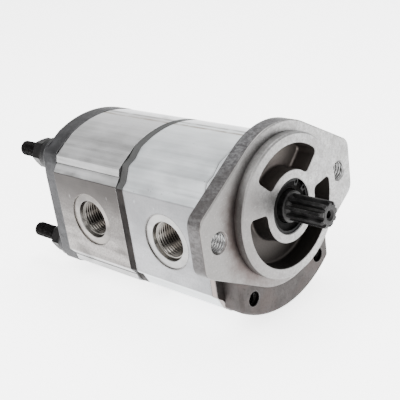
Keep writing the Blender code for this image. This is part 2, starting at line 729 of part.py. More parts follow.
def bearing_block(name, front, rear, outer_side):
    bores = [circle(BLOCK_BORE_RADIUS, (0.0, z)) for z in (0.0, -CENTRE_DISTANCE)]
    block = prism(name + "_bearing_block", [figure_eight(BLOCK_RADIUS)] + bores, front, rear)
    outer_face = front if outer_side > 0 else rear
    groove_ends = sorted(
        (outer_face + outer_side * CUT_OVERRUN, outer_face - outer_side * PRESSURE_GROOVE_DEPTH)
    )
    outline = three_outline(PRESSURE_GROOVE_HALF_WIDTH)
    cut(block, prism(name + "_seal_groove", [outline], groove_ends[1], groove_ends[0]))
    return finish_part(block, "block_aluminium")


def pressure_seal(name, front, rear, outer_side):
    outer_face = front if outer_side > 0 else rear
    floor = outer_face - outer_side * (PRESSURE_GROOVE_DEPTH - GAP)
    outline = three_outline(PRESSURE_GROOVE_HALF_WIDTH - GAP, math.radians(2))
    seal = prism(name + "_pressure_seal", [outline], max(outer_face, floor), min(outer_face, floor))
    return finish_part(seal, "black_rubber")


def bushes(name, front, rear, outer_side):
    """One bush for each shaft, against the gear side of the block."""
    inset = 0.5 * MM
    if outer_side > 0:
        bush_front, bush_rear = rear + inset + BUSH_LENGTH, rear + inset
    else:
        bush_front, bush_rear = front - inset, front - inset - BUSH_LENGTH
    for shaft, z in (("drive", 0.0), ("driven", -CENTRE_DISTANCE)):
        radii = (BUSH_INNER_RADIUS, BUSH_OUTER_RADIUS)
        bush = ring(f"{name}_{shaft}_bush", *radii, bush_front, bush_rear, (0.0, z))
        finish_part(bush, "bearing_bronze")


def section_seals():
    inner, outer = SECTION_GROOVE
    inner += GAP
    outer -= GAP
    depth = SECTION_GROOVE_DEPTH - GAP
    for section, (front, rear) in (("front", FRONT_BODY), ("rear", REAR_BODY)):
        for end, x_front, x_rear in (
            ("front", front, front - depth),
            ("rear", rear + depth, rear),
        ):
            name = f"{section}_body_{end}_seal"
            seal = prism(name, [racetrack(outer), racetrack(inner)], x_front, x_rear)
            finish_part(seal, "black_rubber")


def shaft_seal():
    """Lip seal: a stiff outer case, a front wall and a lip that leans on the shaft."""
    front, rear = SHAFT_SEAL_ENDS
    outer = SEAL_BORE_RADIUS - GAP
    lip = JOURNAL_RADIUS + GAP
    profile = [
        (outer - 0.6 * MM, front),
        (outer, front - 0.6 * MM),
        (outer, rear),
        (outer - 1.6 * MM, rear),
        (outer - 1.6 * MM, front - 2.2 * MM),
        (lip + 1.7 * MM, front - 2.2 * MM),
        (lip + 1.5 * MM, rear + 1.4 * MM),
        (lip, rear + 2.2 * MM),
        (lip + 0.5 * MM, front),
    ]
    seal = turned("shaft_seal", profile, closed=True)
    return finish_part(seal, "black_rubber")


def retaining_ring():
    """Internal snap ring: an open ring with two lugs at its gap."""
    outer = RETAINING_GROOVE_RADIUS - GAP
    inner = outer - 2.2 * MM
    lug = outer - 4.4 * MM
    gap_half = math.radians(10)
    lug_half = math.radians(24)
    start = RETAINING_RING_GAP_ANGLE
    end = start + 2 * math.pi
    outline = arc((0.0, 0.0), outer, start + gap_half, end - gap_half)
    outline += arc((0.0, 0.0), lug, end - gap_half, end - lug_half)
    outline += arc((0.0, 0.0), inner, end - lug_half, start + lug_half)
    outline += arc((0.0, 0.0), lug, start + lug_half, start + gap_half)
    half = RETAINING_RING_THICKNESS / 2
    snap = prism("seal_retaining_ring", [outline], RETAINING_RING_X + half, RETAINING_RING_X - half)
    return finish_part(snap, "black_steel")


# ---------------------------------------------------------------- fasteners

def fasteners():
    """Tie studs through the whole stack, with a washer and a hex nut behind the rear cover."""
    washer_front = STUD_BOSS_REAR_X - GAP
    nut_front = washer_front - WASHER_THICKNESS - GAP
    corner_radius = NUT_ACROSS_FLATS / math.sqrt(3)
    for place, axis in STUD_PLACES.items():
        stud_rear = UPPER_STUD_REAR_X if "upper" in place else LOWER_STUD_REAR_X
        stud = rod(f"tie_stud_{place}", STUD_RADIUS, STUD_FRONT_X, stud_rear, axis, 1.2 * MM)
        finish_part(stud, "black_steel")
        washer_rear = washer_front - WASHER_THICKNESS
        washer = ring(
            f"washer_{place}", STUD_HOLE_RADIUS, WASHER_RADIUS, washer_front, washer_rear, axis
        )
        finish_part(washer, "black_steel")
        outlines = [hexagon(corner_radius), circle(STUD_HOLE_RADIUS)]
        nut = prism(f"hex_nut_{place}", outlines, nut_front, nut_front - NUT_HEIGHT, axis)
        finish_part(nut, "black_steel")


def dowels():
    depth = DOWEL_DEPTH
    spans = {
        "front": (FRONT_COVER_REAR_X + depth, FRONT_BODY[0] - depth),
        "centre": (FRONT_BODY[1] + depth, REAR_BODY[0] - depth),
        "rear": (REAR_BODY[1] + depth, REAR_COVER_FRONT_X - depth),
    }
    for level, (x_front, x_rear) in spans.items():
        for side, axis in DOWEL_PLACES.items():
            pin = rod(f"dowel_{level}_{side}", DOWEL_RADIUS, x_front, x_rear, axis)
            finish_part(pin, "ground_steel")


clear_scene()
PUMP = new_collection("tandem_gear_pump")
CUTTERS = new_collection("cutters")
front_cover()
pump_body("front_body", body_outline(), FRONT_BODY)
centre_plate()
pump_body("rear_body", rear_body_outline(), REAR_BODY)
rear_cover()
front_drive_shaft()
coupling_sleeve()
rear_drive_shaft()
driven_gear("front_driven_gear", FRONT_BODY)
driven_gear("rear_driven_gear", REAR_BODY)
for block_name, (block_front, block_rear, block_side) in block_spans().items():
    bearing_block(block_name, block_front, block_rear, block_side)
    pressure_seal(block_name, block_front, block_rear, block_side)
    bushes(block_name, block_front, block_rear, block_side)
section_seals()
shaft_seal()
retaining_ring()
fasteners()
dowels()
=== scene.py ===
"""Looks for the tandem gear pump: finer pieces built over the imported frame, materials and light.

Lengths of the part are written in millimetres and turned into metres when a mesh is made.
Floor, lights and camera are in metres. Outlines are lists of (y, z) points, anticlockwise seen
from the front, and X runs out of the front.
"""
import json
import math

import bmesh
import bpy
from mathutils import Euler, Matrix, Vector
from mathutils.geometry import tessellate_polygon


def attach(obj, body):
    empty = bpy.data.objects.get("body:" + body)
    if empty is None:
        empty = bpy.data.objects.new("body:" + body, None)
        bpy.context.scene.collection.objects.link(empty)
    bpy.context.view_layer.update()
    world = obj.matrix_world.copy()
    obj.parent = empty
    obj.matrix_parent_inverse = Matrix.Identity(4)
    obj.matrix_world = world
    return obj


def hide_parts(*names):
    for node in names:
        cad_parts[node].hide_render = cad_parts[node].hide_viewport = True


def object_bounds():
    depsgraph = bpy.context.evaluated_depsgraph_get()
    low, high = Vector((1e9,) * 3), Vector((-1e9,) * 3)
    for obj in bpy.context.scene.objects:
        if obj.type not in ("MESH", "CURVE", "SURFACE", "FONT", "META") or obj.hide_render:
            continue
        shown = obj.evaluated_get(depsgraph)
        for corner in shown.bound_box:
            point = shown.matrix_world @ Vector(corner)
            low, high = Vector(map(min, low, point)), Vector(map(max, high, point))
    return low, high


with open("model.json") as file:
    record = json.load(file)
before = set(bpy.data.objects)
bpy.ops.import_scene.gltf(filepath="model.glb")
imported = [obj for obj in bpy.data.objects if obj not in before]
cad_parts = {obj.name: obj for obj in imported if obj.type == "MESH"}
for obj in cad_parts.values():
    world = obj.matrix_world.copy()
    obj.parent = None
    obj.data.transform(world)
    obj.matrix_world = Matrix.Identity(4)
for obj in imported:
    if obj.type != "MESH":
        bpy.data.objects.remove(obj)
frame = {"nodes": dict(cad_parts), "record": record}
CAD_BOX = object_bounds()

MM = 0.001
SAG = 0.02  # the most that a chord may stand off its arc

DRIVEN_Z = -30.0
MID_Z = DRIVEN_Z / 2
FLAT_Y = 45.0
CROWN_RADIUS = 66.0
CROWN_HALF_WIDTH = 22.5
FLANGE_RADIUS = 47.2
FLANGE_REAR = -10.0
LUG_Y = 65.0
LOBE_RADIUS = 64.2
LOBE_HALF_WIDTH = 38.0
NECK_FRONT = -16.0
COVER_REAR = -19.5
BODY_ENDS = {"front": (-19.8, -81.2), "rear": (-87.2, -146.2)}
PLATE_ENDS = (-81.5, -86.9)
REAR_ENDS = (-146.5, -160.0)
BOSS_REAR = -164.5
PILOT = 41.275
PILOT_TOP = 6.35
BOLT_Y = 53.2
BOLT_HOLE = 5.3
BOLT_MOUTH = 6.35
PORT_X = {"front": -50.5, "rear": -116.7}
PORTS = {
    -1: {"thread": 11.1, "mouth": 12.3, "spotface": 17.0, "passage": 8.0},
    1: {"thread": 13.5, "mouth": 14.8, "spotface": 20.5, "passage": 9.5},
}
STUD_Y = 29.7
STUD_Z = {"upper": 15.8, "lower": -45.8}
STUD_BORE = 5.3
STUDS = {
    f"{level}_{side}": (y, z)
    for level, z in STUD_Z.items()
    for side, y in (("left", -STUD_Y), ("right", STUD_Y))
}
DOWELS = ((-33.0, -8.0), (33.0, -22.0))
DOWEL_BORE = 2.8
DOWEL_DEPTH = 6.3
GEAR_BORE = 18.3


# ---------------- outlines

def facet_count(radius, turn):
    step = 2 * math.acos(1 - min(0.5, SAG / radius))
    return max(2, math.ceil(abs(turn) / step))


def arc(centre, radius, start, end, with_end=True, count=0):
    """Points of an arc, in enough steps to keep to SAG unless a count is given."""
    count = count or facet_count(radius, end - start)
    angles = [start + (end - start) * i / count for i in range(count + 1 if with_end else count)]
    return [(centre[0] + radius * math.cos(a), centre[1] + radius * math.sin(a)) for a in angles]


def circle(radius, centre=(0.0, 0.0), count=0):
    return arc(centre, radius, 0.0, 2 * math.pi, False, count)


def rounded(corners):
    """Close a polygon of (y, z, radius) corners, each one rounded by an arc."""
    outline = []
    for i, (y, z, radius) in enumerate(corners):
        before = corners[i - 1]
        after = corners[(i + 1) % len(corners)]
        angle_in = math.atan2(z - before[1], y - before[0])
        angle_out = math.atan2(after[1] - z, after[0] - y)
        turn = (angle_out - angle_in + math.pi) % (2 * math.pi) - math.pi
        if not radius:
            outline.append((y, z))
            continue
        setback = radius * math.tan(abs(turn) / 2)
        side = math.copysign(math.pi / 2, turn)
        start = (y - setback * math.cos(angle_in), z - setback * math.sin(angle_in))
        centre = (
            start[0] + radius * math.cos(angle_in + side),
            start[1] + radius * math.sin(angle_in + side),
        )
        outline += arc(centre, radius, angle_in - side, angle_in - side + turn)
    return outline


def four_way(corners):
    """Mirror the corners of the upper left quarter into a whole section."""
    left = corners + [(y, 2 * MID_Z - z, radius) for y, z, radius in reversed(corners)]
    right = [(-y, z, radius) for y, z, radius in reversed(left[1:-1])]
    return rounded(left + right)


def crown(radius):
    """Corner whose rounding is the shallow crown arc centred on the driven axis."""
    slope = math.asin(CROWN_HALF_WIDTH / radius)
    return 0.0, DRIVEN_Z + radius * math.cos(slope) + CROWN_HALF_WIDTH * math.tan(slope), radius


FRONT_CORNERS = [
    crown(CROWN_RADIUS),
    (-25.5, 30.95, 4.0),
    (-31.5, 25.7, 4.0),
    (-36.9, 23.6, 3.0),
    (-41.2, 14.6, 4.0),
    (-FLAT_Y, 12.0, 3.0),
]
FRONT_SECTION = four_way(FRONT_CORNERS)
REAR_SECTION = four_way([
    crown(CROWN_RADIUS),
    (-25.0, 31.1, 4.0),
    (-31.6, 27.07, 0.3),
    (-32.1, 27.2, 0.3),
    (-32.8, 26.32, 0.3),
    (-40.0, 21.7, 1.6),
    (-41.1, 17.3, 0.0),
    (-40.6, 16.8, 0.0),
    (-41.4, 16.4, 0.0),
    (-FLAT_Y, 11.8, 1.0),
])
REAR_COVER = four_way([
    crown(CROWN_RADIUS + 0.3),
    (-25.5, 31.2, 4.0),
    (-32.4, 27.1, 4.0),
    (-39.8, 23.0, 4.0),
    (-41.6, 16.0, 8.0),
    (-42.3, 7.0, 8.0),
])


def flange_outline():
    """Round middle with straight flanks running out to two square-ended lugs."""
    slope = math.radians(31.5)
    lug_z = (FLANGE_RADIUS - LUG_Y * math.sin(slope)) / math.cos(slope)
    peak_z = FLANGE_RADIUS / math.cos(slope)
    lug_round = 8.0
    return rounded([
        (0.0, peak_z, FLANGE_RADIUS),
        (-LUG_Y, lug_z, lug_round),
        (-LUG_Y, -lug_z, lug_round),
        (0.0, -peak_z, FLANGE_RADIUS),
        (LUG_Y, -lug_z, lug_round),
        (LUG_Y, lug_z, lug_round),
    ])


def lobe_outline():
    """Block behind the flange. Its top stays inside the flange, its bottom hangs out below."""
    slope = math.asin(LOBE_HALF_WIDTH / LOBE_RADIUS)
    edge_z = -LOBE_RADIUS * math.cos(slope)
    left = [
        *FRONT_CORNERS[:4],
        (-40.0, 17.0, 2.0),
        (-40.0, edge_z + (40.0 - LOBE_HALF_WIDTH) * math.tan(slope), 2.5),
    ]
    bottom = (0.0, edge_z - LOBE_HALF_WIDTH * math.tan(slope), LOBE_RADIUS)
    return rounded(left + [bottom] + [(-y, z, radius) for y, z, radius in reversed(left[1:])])


def sector(angles, inner=20.7, outer=35.2, rounding=3.0):
    """Annular pocket between two angles in degrees, with rounded corners."""
    start, end = (math.radians(angle) for angle in angles)
    quarter = math.pi / 2
    outer_inset = math.asin(rounding / (outer - rounding))
    inner_inset = math.asin(rounding / (inner + rounding))

    def corner(radius, angle, turn_from, turn_to):
        centre = (radius * math.cos(angle), radius * math.sin(angle))
        return arc(centre, rounding, turn_from, turn_to, with_end=False)

    o_start, o_end = start + outer_inset, end - outer_inset
    i_start, i_end = start + inner_inset, end - inner_inset
    outline = arc((0.0, 0.0), outer, o_start, o_end, with_end=False)
    outline += corner(outer - rounding, o_end, o_end, end + quarter)
    outline += corner(inner + rounding, i_end, end + quarter, i_end + 2 * quarter)
    outline += arc((0.0, 0.0), inner, i_end, i_start, with_end=False)
    outline += corner(inner + rounding, i_start, i_start - 2 * quarter, start - quarter)
    outline += corner(outer - rounding, o_start, start - quarter, o_start)
    return outline


def figure_eight(radius):
    """Two overlapping circles, one on each gear's axis."""
    waist = math.asin(-MID_Z / radius)
    upper = arc((0.0, 0.0), radius, -waist, math.pi + waist, with_end=False)
    lower = arc((0.0, DRIVEN_Z), radius, math.pi - waist, 2 * math.pi + waist, with_end=False)
    return upper + lower


def inset(outline, distance):
    """Move every point of an anticlockwise outline inwards by the distance."""
    moved = []
    for i, (y, z) in enumerate(outline):
        before = Vector(outline[i - 1])
        after = Vector(outline[(i + 1) % len(outline)])
        here = Vector((y, z))
        along_in = (here - before).normalized()
        along_out = (after - here).normalized()
        inward_in = Vector((-along_in.y, along_in.x))
        inward_out = Vector((-along_out.y, along_out.x))
        mitre = (inward_in + inward_out).normalized()
        reach = distance / max(0.4, mitre.dot(inward_in))
        moved.append((y + mitre.x * reach, z + mitre.y * reach))
    return moved


# ---------------- meshes

def new_object(name, mesh_data):
    mesh = bpy.data.meshes.new(name)
    mesh_data.to_mesh(mesh)
    mesh_data.free()
    obj = bpy.data.objects.new(name, mesh)
    bpy.context.scene.collection.objects.link(obj)
    return obj


def edge_levels(front, rear, front_round, rear_round, steps=4):
    """(x, inset) pairs for a plate whose two end edges are rounded."""
    angles = [math.pi / 2 * i / steps for i in range(steps + 1)]
    rows = [(front - front_round * (1 - math.cos(a)), front_round * (1 - math.sin(a))) for a in angles]
    rows += [(rear + rear_round * (1 - math.sin(a)), rear_round * (1 - math.cos(a))) for a in angles]
    return rows


def chamfer_levels(front, rear, cut):
    return [(front, cut), (front - cut, 0.0), (rear + cut, 0.0), (rear, cut)]


def plate(name, outline, levels, holes=()):
    """A closed plate along X. Levels are (x, inset); each hole is (outline, its own levels)."""
    shape = bmesh.new()
    caps = ([], [])
    cap_verts = ([], [])
    for loop, rows, sense in [(outline, levels, 1)] + [(h, rows, -1) for h, rows in holes]:
        rings = []
        for x, depth in rows:
            points = inset(loop, depth * sense)
            rings.append([shape.verts.new((x * MM, y * MM, z * MM)) for y, z in points])
        for upper, lower in zip(rings, rings[1:]):
            for i in range(len(loop)):
                j = (i + 1) % len(loop)
                quad = (upper[i], lower[i], lower[j], upper[j])
                shape.faces.new(quad if sense > 0 else quad[::-1])
        for which, ring in ((0, rings[0]), (1, rings[-1])):
            caps[which].append([Vector((v.co.y, v.co.z, 0.0)) for v in ring])
            cap_verts[which].extend(ring)
    for which in (0, 1):
        for triangle in tessellate_polygon(caps[which]):
            shape.faces.new([cap_verts[which][i] for i in triangle])
    bmesh.ops.recalc_face_normals(shape, faces=shape.faces)
    return new_object(name, shape)


def straight(front, rear):
    return [(front, 0.0), (rear, 0.0)]


def lathe(name, profile, axis=(0.0, 0.0), steps=96, thread=None, closed=False):
    """Turn (radius, x) points about X. Thread is (x_from, x_to, pitch, depth)."""
    shape = bmesh.new()
    rows = []
    for radius, x in profile:
        if radius == 0.0:
            rows.append([shape.verts.new((x * MM, axis[0] * MM, axis[1] * MM))])
            continue
        row = []
        for i in range(steps):
            angle = 2 * math.pi * i / steps
            reach = radius + thread_offset(thread, x, angle)
            y, z = axis[0] + reach * math.cos(angle), axis[1] + reach * math.sin(angle)
            row.append(shape.verts.new((x * MM, y * MM, z * MM)))
        rows.append(row)
    pairs = list(zip(rows, rows[1:]))
    if closed:
        pairs.append((rows[-1], rows[0]))
    for upper, lower in pairs:
        for i in range(steps):
            j = (i + 1) % steps
            if len(upper) == 1:
                shape.faces.new((upper[0], lower[i], lower[j]))
            elif len(lower) == 1:
                shape.faces.new((upper[i], lower[0], upper[j]))
            else:
                shape.faces.new((upper[i], lower[i], lower[j], upper[j]))
    bmesh.ops.recalc_face_normals(shape, faces=shape.faces)
    return new_object(name, shape)


def thread_offset(thread, x, angle):
    """How far a V thread stands off the base radius at this place."""
    if thread is None:
        return 0.0
    low, high, pitch, depth = thread
    fade = min(1.0, max(0.0, min(x - low, high - x) / (0.6 * pitch)))
    phase = (x / pitch - angle / (2 * math.pi)) % 1.0
    root_land, flank = 0.12, 0.72
    wave = min(1.0, max(0.0, (1 - abs(2 * phase - 1) - root_land) / flank))
    return depth * wave * fade


def thread_rows(radius, x_from, x_to, pitch, per_pitch=9):
    count = max(2, round(abs(x_to - x_from) / pitch * per_pitch))
    return [(radius, x_from + (x_to - x_from) * i / count) for i in range(count + 1)]


def boolean(target, operation, *tools):
    """Apply Booleans to the target at once, and remove the tools."""
    for tool in tools:
        modifier = target.modifiers.new(tool.name, "BOOLEAN")
        modifier.operation = operation
        modifier.solver = "EXACT"
        modifier.object = tool
    evaluated = target.evaluated_get(bpy.context.evaluated_depsgraph_get())
    mesh = bpy.data.meshes.new_from_object(evaluated)
    mesh.name = target.name
    target.modifiers.clear()
    target.data = mesh
    for tool in tools:
        bpy.data.objects.remove(tool)


def finish_piece(obj, body, material, nodes=(), angle=32.0):
    """Shade a piece, give it its material and tie it to the frame."""
    mesh = obj.data
    mesh.materials.clear()
    mesh.materials.append(material)
    for polygon in mesh.polygons:
        polygon.material_index = 0
    mesh.shade_smooth()
    mesh.set_sharp_from_angle(angle=math.radians(angle))
    weighted = obj.modifiers.new("weighted", "WEIGHTED_NORMAL")
    weighted.keep_sharp = True
    weighted.weight = 80
    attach(obj, body)
    if nodes:
        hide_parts(*nodes)
    return obj


# ---------------- materials

def scaled(colour, factor, limit=1.0):
    return tuple(min(limit, channel * factor) for channel in colour)


class Graph:
    """Short names for the shader nodes that the materials below are made of."""

    def __init__(self, name):
        self.material = bpy.data.materials.new(name)
        self.material.use_nodes = True
        self.nodes = self.material.node_tree.nodes
        self.links = self.material.node_tree.links
        self.shader = self.nodes["Principled BSDF"]
        self.place = self.node("TexCoord").outputs["Object"]

    def feed(self, socket, value):
        if isinstance(value, bpy.types.NodeSocket):
            self.links.new(value, socket)
        else:
            socket.default_value = value

    def node(self, kind, **inputs):
        """A new node with values or links on its inputs. An underscore stands for a space."""
        node = self.nodes.new("ShaderNode" + kind)
        for name, value in inputs.items():
            self.feed(node.inputs[name.replace("_", " ")], value)
        return node

    def spread(self, scale, offset=0.0):
        """Texture coordinates. Scale is features per metre, the same along all axes or one each."""
        scale = scale if isinstance(scale, tuple) else (scale,) * 3
        shift = (offset, offset * 0.7, offset * 1.3)
        mapping = self.node("Mapping", Vector=self.place, Location=shift, Scale=scale)
        return mapping.outputs["Vector"]

    def noise(self, scale, detail=3.0, roughness=0.55, offset=0.0):
        place = self.spread(scale, offset)
        texture = self.node("TexNoise", Vector=place, Scale=1.0, Detail=detail, Roughness=roughness)
        return texture.outputs["Fac"]

    def cells(self, scale):
        """Distance to the nearest of many scattered points."""
        return self.node("TexVoronoi", Vector=self.spread(scale), Scale=1.0).outputs["Distance"]

    def ramp(self, value, low, high, bottom=0.0, top=1.0):
        """Map low..high onto bottom..top, clamped."""
        node = self.node("MapRange", Value=value, From_Min=low, From_Max=high, To_Min=bottom, To_Max=top)
        return node.outputs["Result"]

    def math(self, operation, *values):
        node = self.node("Math")
        node.operation = operation
        for socket, value in zip(node.inputs, values):
            self.feed(socket, value)
        return node.outputs[0]

    def times(self, first, *others):
        for other in others:
            first = self.math("MULTIPLY", first, other)
        return first

    def away(self, value, centre=0.0):
        """How far a value lies from a centre."""
        return self.math("ABSOLUTE", self.math("SUBTRACT", value, centre))

    def length(self, first, second):
        squares = [self.math("POWER", value, 2.0) for value in (first, second)]
        return self.math("SQRT", self.math("ADD", *squares))

    def mean(self, first, second, share=0.5):
        """Mean of two values, where the share is the first one's weight."""
        return self.math("ADD", self.times(first, share), self.times(second, 1.0 - share))

    def mix(self, factor, first, second):
        node = self.node("Mix")
        node.data_type = "RGBA"
        colours = [s for s in node.inputs if s.type == "RGBA"]
        self.feed(node.inputs[0], factor)
        for socket, colour in zip(colours, (first, second)):
            if isinstance(colour, tuple):
                colour = (*colour, 1.0)
            self.feed(socket, colour)
        return [s for s in node.outputs if s.type == "RGBA"][0]

    def coat(self, colour, mask, tone, strength=1.0):
        """Lay a tone over the colour where the mask is, at the strength given."""
        if strength != 1.0:
            mask = self.times(mask, strength)
        return self.mix(mask, colour, tone)

    def axes(self):
        """X, Y and Z on the object, in millimetres."""
        scaling = self.node("VectorMath", Vector=self.place)
        scaling.operation = "SCALE"
        self.feed(scaling.inputs["Scale"], 1 / MM)
        return self.node("SeparateXYZ", Vector=scaling.outputs["Vector"]).outputs

    def normal(self):
        """The surface's own normal in the object's space."""
        normal = self.node("TexCoord").outputs["Normal"]
        return self.node("SeparateXYZ", Vector=normal).outputs

    def open_air(self, distance):
        """About 1 in the open and less the deeper a place sits in a corner."""
        node = self.node("AmbientOcclusion", Distance=distance * MM)
        node.samples = 6
        return node.outputs["AO"]

    def corner_shade(self, distance):
        """Painted shade mask: about 1 deep in a corner and 0 in the open."""
        return self.ramp(self.open_air(distance), 0.75, 0.25)

    def edge_wear_and_highlight(self, radius):
        """Mask of edge wear and a painted edge highlight: about 1 on a sharp outer edge and 0 on flat
        faces and in corners.
        """
        bevel = self.node("Bevel", Radius=radius * MM)
        bevel.samples = 4
        dot = self.node("VectorMath")
        dot.operation = "DOT_PRODUCT"
        self.feed(dot.inputs[0], bevel.outputs["Normal"])
        self.feed(dot.inputs[1], self.node("NewGeometry").outputs["Normal"])
        sharp = self.ramp(dot.outputs["Value"], 0.995, 0.86)
        return self.times(sharp, self.ramp(self.open_air(3.0), 0.72, 0.90))

    def bump(self, *layers):
        """Stack bump layers of (height, strength, distance in mm)."""
        normal = None
        for height, strength, distance in layers:
            node = self.node("Bump", Height=height, Strength=strength, Distance=distance * MM)
            if normal is not None:
                self.feed(node.inputs["Normal"], normal)
            normal = node.outputs["Normal"]
        self.feed(self.shader.inputs["Normal"], normal)

    def surface(self, colour, roughness, metallic=1.0, specular=0.5):
        self.feed(self.shader.inputs["Base Color"], colour)
        self.feed(self.shader.inputs["Roughness"], roughness)
        self.shader.inputs["Metallic"].default_value = metallic
        self.shader.inputs["Specular IOR Level"].default_value = specular


CROWN_SEAMS = (  # y, half width, tone
    (3.5, 1.6, (0.17, 0.125, 0.075)),
    (8.5, 1.8, (0.15, 0.14, 0.13)),
)


def drawn_crown(g, colour, place, light):
    """A crown with a painted highlight along its top, a near-white painted reflection on its far side,
    and two faint seams along it.
    """
    # Painted highlight on the crown's top, and a near-white painted reflection on its far side.
    upper = g.ramp(place["Z"], 20.0, 26.0)
    pale = g.times(upper, g.ramp(place["Y"], -26.0, 2.0, 0.0, 0.7))
    colour = g.coat(colour, pale, scaled(light, 1.5, 0.85))
    crown_glare = g.times(upper, g.ramp(place["Y"], 8.0, 12.0))
    colour = g.coat(colour, crown_glare, (0.85, 0.86, 0.87))
    patches = g.ramp(g.noise((90, 160, 160), offset=31.0), 0.34, 0.52)
    for seam_y, half_width, tone in CROWN_SEAMS:
        seam = g.ramp(g.away(place["Y"], seam_y), half_width, half_width * 0.4)
        colour = g.coat(colour, g.times(seam, upper, patches), tone, 0.75)
    return colour


def drawn_flat(g, height, noises, shade, dark, light, dirt_and_shade):
    """Port side of a body: blotched, lined and grainy, with painted shade darkening it towards its top.
    """
    mottle, blotch, speckle = noises
    tone = g.ramp(g.mean(blotch, mottle, 0.6), 0.40, 0.60)
    # Painted shade: the flat is lighter low down and darker high up.
    tone = g.math("ADD", tone, g.ramp(height, 26.0, -20.0, -dirt_and_shade, dirt_and_shade))
    flat = g.mix(g.ramp(tone, 0.0, 1.0), dark, light)
    drawn = g.ramp(g.noise((7, 7, 170), 4.0, 0.6, offset=41.0), 0.44, 0.68)
    flat = g.coat(flat, drawn, scaled(dark, 0.8), 0.15 + dirt_and_shade * 0.55)
    grain = g.ramp(speckle, 0.44, 0.62, 0.0, 0.20 + dirt_and_shade * 0.35)
    flat = g.coat(flat, grain, scaled(dark, 0.55))
    return g.coat(flat, shade, scaled(dark, 0.42))


def port_faces(g, colour, place, from_port, mottle, shade, dark, light):
    """The milled faces round the ports, with a dark line at each one's rim."""
    out = g.away(place["Y"])
    outside_bore = g.ramp(out, FLAT_Y - 1.2, FLAT_Y - 1.0)
    spotface = g.times(g.ramp(out, FLAT_Y - 0.45, FLAT_Y - 0.55), outside_bore)
    spotface = g.times(spotface, g.ramp(from_port, 21.0, 20.8))
    warm = (0.90, 0.86, 0.80)
    milled = [tuple(c * w for c, w in zip(tone, warm)) for tone in (dark, light)]
    milled = g.mix(g.ramp(mottle, 0.40, 0.60), *milled)
    milled = g.coat(milled, shade, scaled(dark, 0.42), 0.5)
    colour = g.coat(colour, spotface, milled, 0.8)
    for side, port in PORTS.items():
        line = g.ramp(g.away(from_port, port["spotface"] + 0.05), 0.65, 0.20)
        line = g.times(line, g.ramp(place["Y"], 0.0, side), outside_bore)
        colour = g.coat(colour, line, (0.05, 0.042, 0.036), 0.8)
    return colour


def extruded_aluminium(name, port_x, dark, light, flat_dark, flat_light, dirt_and_shade):
    """Drawn section: fine lines along X, mottling, nicks, a stained port side with painted shade towards
    its top, oily glossy ports with painted shade inside, a painted highlight on the crown, a painted
    shadow at both ends, painted shade in corners and edge wear with a painted highlight.
    """
    g = Graph(name)
    place = g.axes()
    across = g.math("SUBTRACT", place["X"], port_x)
    height = g.math("SUBTRACT", place["Z"], MID_Z)
    from_port = g.length(across, height)
    out = g.away(place["Y"])
    streaks = g.noise((6, 420, 420), 4.0)
    fine = g.noise((14, 2600, 2600), offset=3.0)
    mottle = g.noise((45, 85, 85), 4.0, offset=7.0)
    blotch = g.noise((26, 34, 34), 3.0, 0.6, offset=15.0)
    speckle = g.noise(900, 2.0, offset=11.0)
    sparse = g.ramp(g.noise(60, 2.0, offset=19.0), 0.58, 0.68)
    nicks = g.times(g.ramp(g.cells((300, 380, 380)), 0.20, 0.06), sparse)
    scratches = g.ramp(g.noise((240, 2000, 110), 2.0, 0.4, offset=23.0), 0.71, 0.78)
    shade = g.ramp(height, -14.0, 22.0, 0.0, 0.35 + dirt_and_shade)

    colour = g.mix(g.ramp(g.mean(streaks, mottle), 0.32, 0.68), dark, light)
    colour = drawn_crown(g, colour, place, light)
    on_flat = g.ramp(out, FLAT_Y - 0.4, FLAT_Y - 0.1)
    noises = (mottle, blotch, speckle)
    flat = drawn_flat(g, height, noises, shade, flat_dark, flat_light, dirt_and_shade)
    colour = g.coat(colour, on_flat, flat)
    colour = g.coat(colour, g.ramp(blotch, 0.54, 0.66), scaled(flat_dark, 0.62), dirt_and_shade)
    colour = g.coat(colour, scratches, light, 0.25)
    colour = g.coat(colour, nicks, scaled(dark, 0.25), 0.75)
    colour = port_faces(g, colour, place, from_port, mottle, shade, flat_dark, flat_light)
    # Painted shadow in the gaps at both ends of the body.
    joint_shadow = g.ramp(g.away(across), 29.1, 30.7)
    colour = g.coat(colour, joint_shadow, (0.05, 0.045, 0.04), 0.35)
    # Painted shade in corners, then edge wear with a painted edge highlight.
    colour = g.coat(colour, g.corner_shade(2.5), (0.030, 0.026, 0.022), 0.75)
    colour = g.coat(colour, g.edge_wear_and_highlight(0.35), scaled(light, 1.5), 0.4)
    # Inside the ports: painted shade darkening deeper into each bore, and less roughness there.
    inside = g.times(g.ramp(out, FLAT_Y - 1.0, FLAT_Y - 1.4), g.ramp(from_port, 16.0, 15.5))
    mouth_tone = scaled((0.17, 0.162, 0.15), 1.2 - dirt_and_shade)
    port_shade = g.mix(g.ramp(out, 43.5, 34.0), mouth_tone, (0.045, 0.040, 0.035))
    colour = g.coat(colour, inside, port_shade)
    rough = g.ramp(g.mean(fine, mottle), 0.3, 0.7, 0.30, 0.50)
    g.surface(colour, g.math("SUBTRACT", rough, g.times(inside, 0.18)))
    g.bump(
        (streaks, 0.35, 0.06),
        (fine, 0.35, 0.02),
        (speckle, 0.15, 0.03),
        (nicks, 0.5, -0.10),
        (scratches, 0.3, -0.03),
    )
    return g.material


def cast_skin(g, dark, light):
    """Colour, roughness and bump of a sand-cast skin. Returns them with the tone used."""
    grain = g.noise(1000)
    pits = g.noise(380, 4.0, 0.6, offset=5.0)
    mottle = g.noise(48, 4.0, offset=9.0)
    swirl = g.noise(170, offset=13.0)
    tone = g.ramp(g.mean(mottle, swirl), 0.38, 0.62)
    colour = g.mix(tone, dark, light)
    colour = g.coat(colour, g.ramp(pits, 0.60, 0.72), scaled(dark, 0.45))
    g.bump((grain, 0.30, 0.05), (pits, 0.30, 0.08), (swirl, 0.12, 0.12))
    return colour, g.ramp(grain, 0.3, 0.7, 0.42, 0.58), tone


